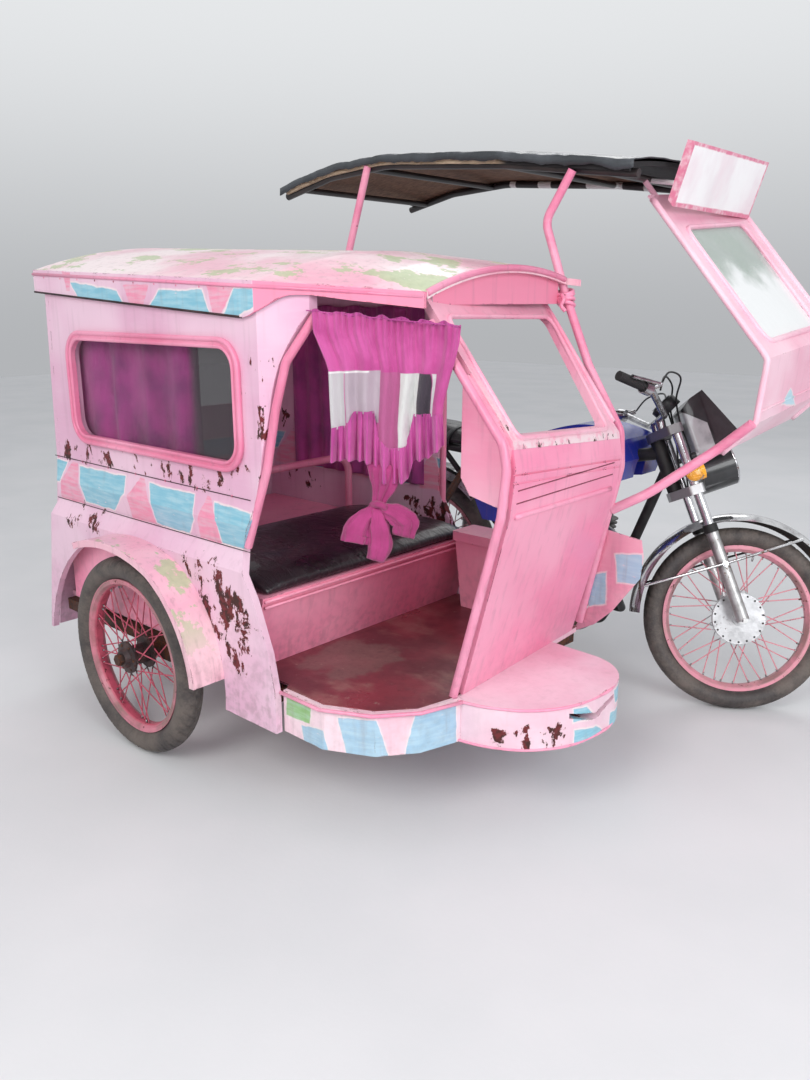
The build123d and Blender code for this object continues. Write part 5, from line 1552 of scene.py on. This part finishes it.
tail_parts = [tail_part(spine, number) for number, spine in enumerate(TAIL_SPINES)]
knot_ring = curve_points([knot_point(angle) for angle in angles(16)], 3, True)
tail_parts.append(tube_mesh(knot_ring, 0.0085, 12, True))
curtain_tail = joined("curtain_tail", tail_parts, "chassis_body", knot_cloth, "cloth")
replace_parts(curtain_tail, "door_curtain")

# String of the curtain, from the pillar to the windscreen post: s, height, distance outwards
STRING = [(-14, 1288, 14), (160, 1270, 16), (300, 1258, 46), (343, 1254, 58)]
string = tube_mesh(curve_points([plane_point(*point) for point in STRING], 8), 0.0016, 6)
trim("curtain_string", [string], magenta_cloth, "cloth")


def drape(name, x0, x1, y, top, low, folds, phase, deep):
    """A hanging drape, gathered along its top, with folds that are deep mm deep."""

    def point(u, v):
        x = x0 + (x1 - x0) * u
        wave = math.sin(u * 2 * math.pi * folds + phase + 1.2 * wander(u * 5, phase, v))
        fine = math.sin(u * 2 * math.pi * folds * 2.7) * max(0.0, 1 - v * 3)
        depth = deep * wave * (0.55 + 0.45 * v) + 1.5 * fine
        hem = 8 * wander(u * 6, phase, 2.0)
        z = top + (low + hem - top) * v + 3 * math.sin(u * folds * 3) * (1 - v) ** 2
        return at(x, y + depth, z)

    made = cloth_piece(name, point, 150, 60, wine_cloth)
    thicken(made, CLOTH_THICKNESS)
    return made


side_drape = drape("side_window_drape", -1560, -925, -1391, 1260, 762, 4.5, 0.4, 10)
inner_drape = drape("inner_side_drape", -1560, -905, -529, 1290, 702, 9, 2.1, 6)
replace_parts(side_drape, "window_curtains")
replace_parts(inner_drape, "window_curtains")

# Mouldings and rolled edges of the cabin


def rounded_loop(x0, x1, z0, z1, corner, y, steps=7):
    """A closed loop round an upright rectangle at layout y, with round corners."""
    low_x, high_x, low_z, high_z = x0 + corner, x1 - corner, z0 + corner, z1 - corner
    points = []
    middles = ((high_x, high_z), (low_x, high_z), (low_x, low_z), (high_x, low_z))
    for quarter, (cx, cz) in enumerate(middles):
        for k in range(steps + 1):
            angle = math.radians(90 * quarter + 90 * k / steps)
            points.append(at(cx + corner * math.cos(angle), y, cz + corner * math.sin(angle)))
    return points


window_beads = [
    tube_mesh(rounded_loop(-1546, -724, 894, 1218, 73, -1428), 0.0065, 12, True),
    tube_mesh(rounded_loop(-1529, -741, 911, 1201, 56, -1428), 0.0055, 12, True),
]
trim("window_moulding", window_beads, tube_paint)


def rounded_outline(corners, radius, steps=6):
    """A closed outline of (a, b) corners with rounded corners, as a list of points."""
    points = []
    count = len(corners)
    for i, corner in enumerate(corners):
        middle = Vector(corner)
        toward = [(Vector(corners[(i + k) % count]) - middle).normalized() for k in (-1, 1)]
        half_angle = toward[0].angle(toward[1]) / 2
        reach = radius / math.tan(half_angle)
        first, last = middle + toward[0] * reach, middle + toward[1] * reach
        for k in range(steps + 1):
            t = k / steps
            points.append(first * (1 - t) ** 2 + middle * 2 * t * (1 - t) + last * t**2)
    return points


# Height and layout x of the cabin's front and of the windshield's sheet
FRONT_PROFILE = [(250, -265), (829, -111), (940, -99), (1003, -110), (1267, -330), (1367, -413)]
SHIELD_PROFILE = [(884, 21), (978, 112), (1156, 128), (1601, -256)]


def profile_x(profile, z):
    """The x of a sheet at height z, from its outline of (z, x) points."""
    return between(profile, max(z, profile[0][0]))[0]


def on_front(y, z, off=0.0):
    """A point on the skewed front, at layout y and z."""
    share = (y + 1140) / 580
    return at(profile_x(FRONT_PROFILE, z + 44 * share) - 51 * share + off, y, z)


def on_shield(y, z, off=0.0):
    """A point on the windshield's sheet, at layout y and z."""
    return at(profile_x(SHIELD_PROFILE, z - (y + 300) * 0.0875) + off, y, z)


def line_between(place, start, end, steps):
    """Points of place(y, z) from one (y, z) pair to another."""
    pairs = [[a + (b - a) * k / steps for a, b in zip(start, end)] for k in range(steps + 1)]
    return [place(y, z) for y, z in pairs]


screen_loop = rounded_outline([(-1111, 1006), (-1100, 1274), (-539, 1264), (-624, 973)], 28)
far_front = line_between(lambda y, z: on_front(y, z, 2), (-560, 985), (-505, 1360), 8)
screen_parts = [
    tube_mesh([on_front(y, z, 1) for y, z in screen_loop], 0.0065, 12, True),
    tube_mesh(curve_points(far_front, 2), 0.007, 12),
]
trim("windscreen_beads", screen_parts, screen_paint)

shield_loop = rounded_outline([(-228, 1198), (-228, 1512), (178, 1546), (178, 1232)], 36)
shield_parts = [tube_mesh([on_shield(y, z, 1) for y, z in shield_loop], 0.0075, 12, True)]
SHIELD_HEIGHTS = (888, 930, 965, 985, 1020, 1080, 1140, 1165, 1220, 1320, 1420, 1520, 1590)
for y, rise in ((-296, 0), (246, 48)):
    edge = curve_points([on_shield(y, z + rise) for z in SHIELD_HEIGHTS], 3)
    shield_parts.append(tube_mesh(edge, 0.0095, 14))
shield_parts.append(tube_mesh(line_between(on_shield, (-296, 1010), (246, 1058), 8), 0.004, 10))
trim("windshield_beads", shield_parts, shield_paint)


def groove(near_z, far_z, off):
    """Points across the front panel, from its near edge to its far edge."""
    return line_between(lambda y, z: on_front(y, z, off), (-1118, near_z), (-602, far_z), 14)


# The grooves are drawn as thin dark tubes: painted shade in the grooves.
front_grooves = [tube_mesh(groove(near, far, 0), 0.0017, 8) for near, far in ((887, 880), (856, 847))]
trim("front_panel_grooves", front_grooves, groove_shade_paint)
trim("front_panel_bead", [tube_mesh(groove(824, 806, 1), 0.0068, 12)], strong_paint)

# Open seams of the body side, drawn as thin dark tubes: painted shade in their gaps
SEAMS = [
    [(-1702, -1421, 828), (-1300, -1421, 827), (-705, -1421, 826)],
    [(-1706, -1424, 690), (-1200, -1424, 690), (-690, -1424, 690)],
    [(-1688, -1421.5, 1331), (-1200, -1421.5, 1300), (-705, -1421.5, 1270)],
]


def layout_line(points):
    """Layout points as points of the frame."""
    return [at(*point) for point in points]


trim("body_seams", [tube_mesh(layout_line(line), 0.0012, 8) for line in SEAMS], seam_shade)


depsgraph = bpy.context.evaluated_depsgraph_get()
roof_tree = BVHTree.FromObject(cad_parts["roof_panel"], depsgraph)


def roof_top(x, y):
    """A point on top of the roof at layout x and y, or None beside it."""
    return roof_tree.ray_cast(at(x, y, 2000), -UP)[0]


ROOF_EDGE = [
    (-1706, -1431, 1387), (-1180, -1431, 1365), (-653, -1431, 1342), (-470, -1297, 1330),
    (-350, -1175, 1318),
]
VALANCE_EDGE = [(-1706, -1431, 1335), (-1200, -1431, 1303), (-702, -1431, 1273)]
front_lip = []
for k in range(25):
    y = -1162 + 655 * k / 24
    lip_x = -345 - 48 * (y + 1170) / 668
    top = roof_top(lip_x - 5, y)
    if top:
        front_lip.append(top + Vector((0.004, 0, -0.006)))
roof_edges = [tube_mesh(layout_line(ROOF_EDGE), 0.0045, 8)]
roof_edges.append(tube_mesh(curve_points(front_lip, 3), 0.0085, 12))
trim("roof_edge_beads", roof_edges, tube_paint)
# A thin dark tube along the valance's lower edge: painted shade in the gap.
trim("valance_edge", [tube_mesh(layout_line(VALANCE_EDGE), 0.0026, 8)], seam_shade)

# Rolled edges of the floor and of the nose, in layout x and y
FLOOR_LEVEL = 341
FLOOR_EDGE = [(-600, -1434), (-454, -1437), (-331, -1377), (-254, -1283), (-218, -1166)]
NOSE_EDGE = [
    (-236, -1170), (-160, -1152), (-70, -1100), (-5, -1010), (18, -900), (14, -830), (-22, -750),
    (-120, -694),
]
floor_line = [at(x, y, FLOOR_LEVEL) for x, y in FLOOR_EDGE]
nose_line = [at(x, y, FLOOR_LEVEL) for x, y in NOSE_EDGE]
nose_low = [Vector((p.x, p.y, 0.234)) for p in nose_line]
floor_edges = [
    tube_mesh(floor_line, 0.005, 8),
    tube_mesh(curve_points(nose_line, 5), 0.004, 8),
    tube_mesh(curve_points(nose_low, 5), 0.0035, 8),
]
trim("floor_edge_beads", floor_edges, strong_paint)

# Two rolled edges along the top of the bench's front board
box_low, box_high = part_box("seat_box")
bench_edges = []
for drop in (0.010, 0.026):
    near = Vector((box_high.x + 0.001, box_low.y + 0.004, box_high.z - drop))
    far = Vector((box_high.x + 0.001, box_high.y - 0.004, box_high.z - drop))
    bench_edges.append(tube_mesh([near.lerp(far, k / 12) for k in range(13)], 0.0042, 10))
trim("bench_edges", bench_edges, kick_paint)

# Floor covering inside the cabin, with its outline in layout x and y
COVER_OUTLINE = [
    (-752, -1395), (-612, -1395), (-600, -1413), (-460, -1415), (-340, -1357), (-272, -1276),
    (-245, -1162), (-283, -524), (-752, -524),
]


def floor_cover():
    """A thin slab of floor paint over the floor's sheet."""
    low = [at(x, y, 345.05) for x, y in COVER_OUTLINE]
    high = [p + Vector((0, 0, 0.0025)) for p in low]
    count = len(low)
    faces = [tuple(range(count - 1, -1, -1)), tuple(range(count, 2 * count))]
    faces += [(k, (k + 1) % count, count + (k + 1) % count, count + k) for k in range(count)]
    return low + high, faces


joined("floor_cover", [floor_cover()], "chassis_body", floor_paint, "floor", smooth=False)

# Bolts and rivets
OUTWARDS = (0, -1, 0)
rivets = []
for x in range(-1640, -660, 98):
    z = 1399 - (x + 1706) * 45 / 1053
    rivets.append(disc_part(at(x, -1430.5, z - 20), OUTWARDS, 0.0028, 0.0015, 10, 0.6))
for x in range(-1680, -760, 150):
    rivets.append(disc_part(at(x, -1420, 826), OUTWARDS, 0.004, 0.002, 10, 0.6))
trim("body_rivets", rivets, tube_paint)

hub_bolts = []
for angle in angles(6):
    bolt = SIDECAR_CENTRE + Vector((math.cos(angle) * 0.038, -0.034, math.sin(angle) * 0.038))
    hub_bolts.append(disc_part(bolt, OUTWARDS, 0.005, 0.004, 6))
joined("sidecar_hub_bolts", hub_bolts, "wheel_sidecar_body", rusty_steel, "rusty_rim")

# Ring of dimples on the front hub's brake side, drawn as black discs: painted shade in them
dimples = []
hub_side = FRONT_CENTRE - FORK_LEFT * 0.0402
for angle in angles(18):
    outward = STEER_AXIS * math.cos(angle) + FORK_LEFT.cross(STEER_AXIS) * math.sin(angle)
    dimples.append(disc_part(hub_side + outward * 0.077, -FORK_LEFT, 0.0034, 0.0006, 12))
joined("front_hub_holes", dimples, "wheel_front_body", black_metal, "steel_rim")

# Knot of pink rope where the canopy post meets the roof
rope = []
for turn in range(4):
    ring = []
    for angle in angles(18):
        z = 1332 - turn * 11 + 7 * math.sin(angle + turn)
        ring.append(at(-402 + turn * 2 + 22 * math.cos(angle), -487 + 21 * math.sin(angle), z))
    rope.append(tube_mesh(curve_points(ring, 2, True), 0.0062, 9, True))
ROPE_END = [(-398, -509, 1326), (-386, -517, 1312), (-392, -520, 1296), (-380, -516, 1280)]
rope.append(tube_mesh(curve_points(layout_line(ROPE_END), 6), 0.006, 9))
trim("post_rope", rope, strong_paint)


def on_steering(name, parts, material, slot_name):
    """Small pieces that turn with the handlebar, as one object."""
    return joined(name, parts, "steering", material, slot_name)


# Cables from the handlebar, in the fork's frame
CABLES = [
    # Clutch side
    [(16, 268, 786), (60, 230, 812), (104, 150, 800), (84, 84, 750)]
    + [(77, 62, 680), (76, 66, 560), (58, 78, 450)],
    # Front brake, down to its hub
    [(16, -268, 786), (62, -220, 820), (108, -140, 800), (86, -80, 745)]
    + [(77, -60, 660), (74, -62, 540), (34, -62, 110)],
    # Right grip, down behind the headlamp
    [(10, -262, 772), (50, -200, 815), (90, -70, 790), (80, 20, 730), (70, 36, 640), (30, 34, 480)],
]
cable_lines = [curve_points([fork(*point) for point in run], 9) for run in CABLES]
cable_parts = [tube_mesh(line, 0.0031, 8) for line in cable_lines]
on_steering("control_cables", cable_parts, black_plastic, "black_metal")

# Instruments: two round clocks over the clamp
clock_parts, face_parts = [], []
tilt = (STEER_AXIS * 0.9 - FORK_FORWARD * 0.45).normalized()
for side in (-1, 1):
    centre = fork(58, side * 44, 748)
    clock_parts.append(disc_part(centre - tilt * 0.03, tilt, 0.036, 0.042, 28, 0.15))
    face_parts.append(disc_part(centre + tilt * 0.0125, tilt, 0.029, 0.001, 28))
on_steering("clocks", clock_parts, black_plastic, "cowl")
on_steering("clock_faces", face_parts, grey_plastic, "steel_rim")

# Rim of the headlamp
lamp_centre = fork(199, 0, 495)
lamp_ways = [STEER_AXIS * math.cos(angle) + FORK_LEFT * math.sin(angle) for angle in angles(48)]
lamp_rim = tube_mesh([lamp_centre + way * 0.0695 for way in lamp_ways], 0.005, 12, True)
on_steering("headlamp_rim", [lamp_rim], chrome, "chrome")

# Round amber lenses on the outer sides of the indicators
lens_parts, lens_rims = [], []
for side in (-1, 1):
    lens_middle = fork(40, side * 186, 500)
    outward = FORK_LEFT * side
    lens_parts.append(disc_part(lens_middle, outward, 0.028, 0.010, 28, 0.5))
    lens_rims.append(disc_part(lens_middle - outward * 0.002, outward, 0.031, 0.005, 28, 0.2))
on_steering("indicator_lenses", lens_parts, amber_glass, "lamp")
on_steering("indicator_rims", lens_rims, chrome, "chrome")

# Collar between the finned barrel and the cylinder head, leaning forward with them
BARREL_LEAN = math.radians(12)
barrel_way = Vector((math.sin(BARREL_LEAN), 0, math.cos(BARREL_LEAN)))
collar = disc_part(at(-570, 0, 410) + barrel_way * 0.158, barrel_way, 0.046, 0.014, 32)
trim("head_collar", [collar], alloy, "engine")

# Chain runs between the sprocket and the rear wheel
chain = []
CHAIN_LINKS = 46
for k in range(CHAIN_LINKS):
    x = -915 - k * 7.5
    for z0, z1 in ((356, 364), (312, 300)):
        z = z0 + (z1 - z0) * k / (CHAIN_LINKS - 1)
        chain.append(disc_part(at(x, 50, z), (0, 1, 0), 0.0055, 0.006, 8))
trim("chain", chain, chain_steel, "black_metal")

# Camera, as the photograph was taken
CAMERA_PLACE = (1.8232, -2.14835, 1.312)
CAMERA_WAY = Vector((-0.6460, 0.7175, -0.2605)).normalized()
camera_data = bpy.data.cameras.new("camera")
camera_data.sensor_width = 36
camera_data.lens = 29.70
camera = bpy.data.objects.new("camera", camera_data)
bpy.context.scene.collection.objects.link(camera)
camera.location = CAMERA_PLACE
camera.rotation_euler = CAMERA_WAY.to_track_quat("-Z", "Y").to_euler()
bpy.context.scene.camera = camera

# Floor and light
ground = Graph("studio floor")
pale = ground.mix(ground.span(ground.noise(1.5, 3), 0.3, 0.7), "dcdddf", "e2e2e4")
ground.finish(pale, 0.75, 0.0, [(ground.noise(60, 3), 0.0004)])
floor_corners = [(-14, -14, 0), (14, -14, 0), (14, 14, 0), (-14, 14, 0)]
floor_object = new_object("studio_floor", floor_corners, [(0, 1, 2, 3)], None, ground.material)
floor_object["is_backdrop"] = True


def studio_world():
    """Even light from all sides; the camera, mirrors and glass see a pale backdrop instead."""
    world = bpy.data.worlds.new("studio")
    bpy.context.scene.world = world
    sky = Nodes(world, "Generated")
    # Grey near the horizon as painted shade, matching the shade of the far floor; pale higher up.
    backdrop = sky.mix(sky.span(sky.z, -0.06, 0.30), "b3b5b8", "e6e8ea")
    chosen = []
    for colour, strength in ((linear("f2f4f7"), 0.66), (backdrop, 1.0)):
        background = sky.node("ShaderNodeBackground")
        sky.put(background.inputs["Color"], colour)
        sky.put(background.inputs["Strength"], strength)
        chosen.append(background.outputs[0])
    paths = sky.node("ShaderNodeLightPath").outputs
    seen = sky.any_of([paths[f"Is {kind} Ray"] for kind in ("Camera", "Glossy", "Transmission")])
    chooser = sky.node("ShaderNodeMixShader")
    for socket, value in zip(chooser.inputs, (seen, *chosen)):
        sky.put(socket, value)
    sky.put(sky.node("ShaderNodeOutputWorld").inputs[0], chooser.outputs[0])


studio_world()


def area_light(name, place, target, size, power, colour):
    """A round soft lamp that points at a target."""
    data = bpy.data.lights.new(name, "AREA")
    data.shape = "DISK"
    data.size = size
    data.energy = power
    data.color = colour
    lamp = bpy.data.objects.new(name, data)
    bpy.context.scene.collection.objects.link(lamp)
    lamp.location = place
    lamp.rotation_euler = (Vector(target) - Vector(place)).to_track_quat("-Z", "Y").to_euler()
    return lamp


area_light("key light", (1.2, -4.6, 3.8), (0, 0, 0.7), 2.6, 115, (1.0, 0.985, 0.965))
area_light("fill light", (4.6, -1.6, 2.6), (0, 0, 0.8), 2.6, 104, (0.97, 0.985, 1.0))
area_light("rim light", (-1.5, 4.0, 4.2), (0, 0.2, 0.9), 3.0, 45, (1.0, 1.0, 1.0))

bpy.context.scene.view_settings.view_transform = "Standard"

bounds_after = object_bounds()
sizes = {"cad": bounds_before, "visual": bounds_after}
sizes = {name: [[round(v, 4) for v in corner] for corner in corners] for name, corners in sizes.items()}
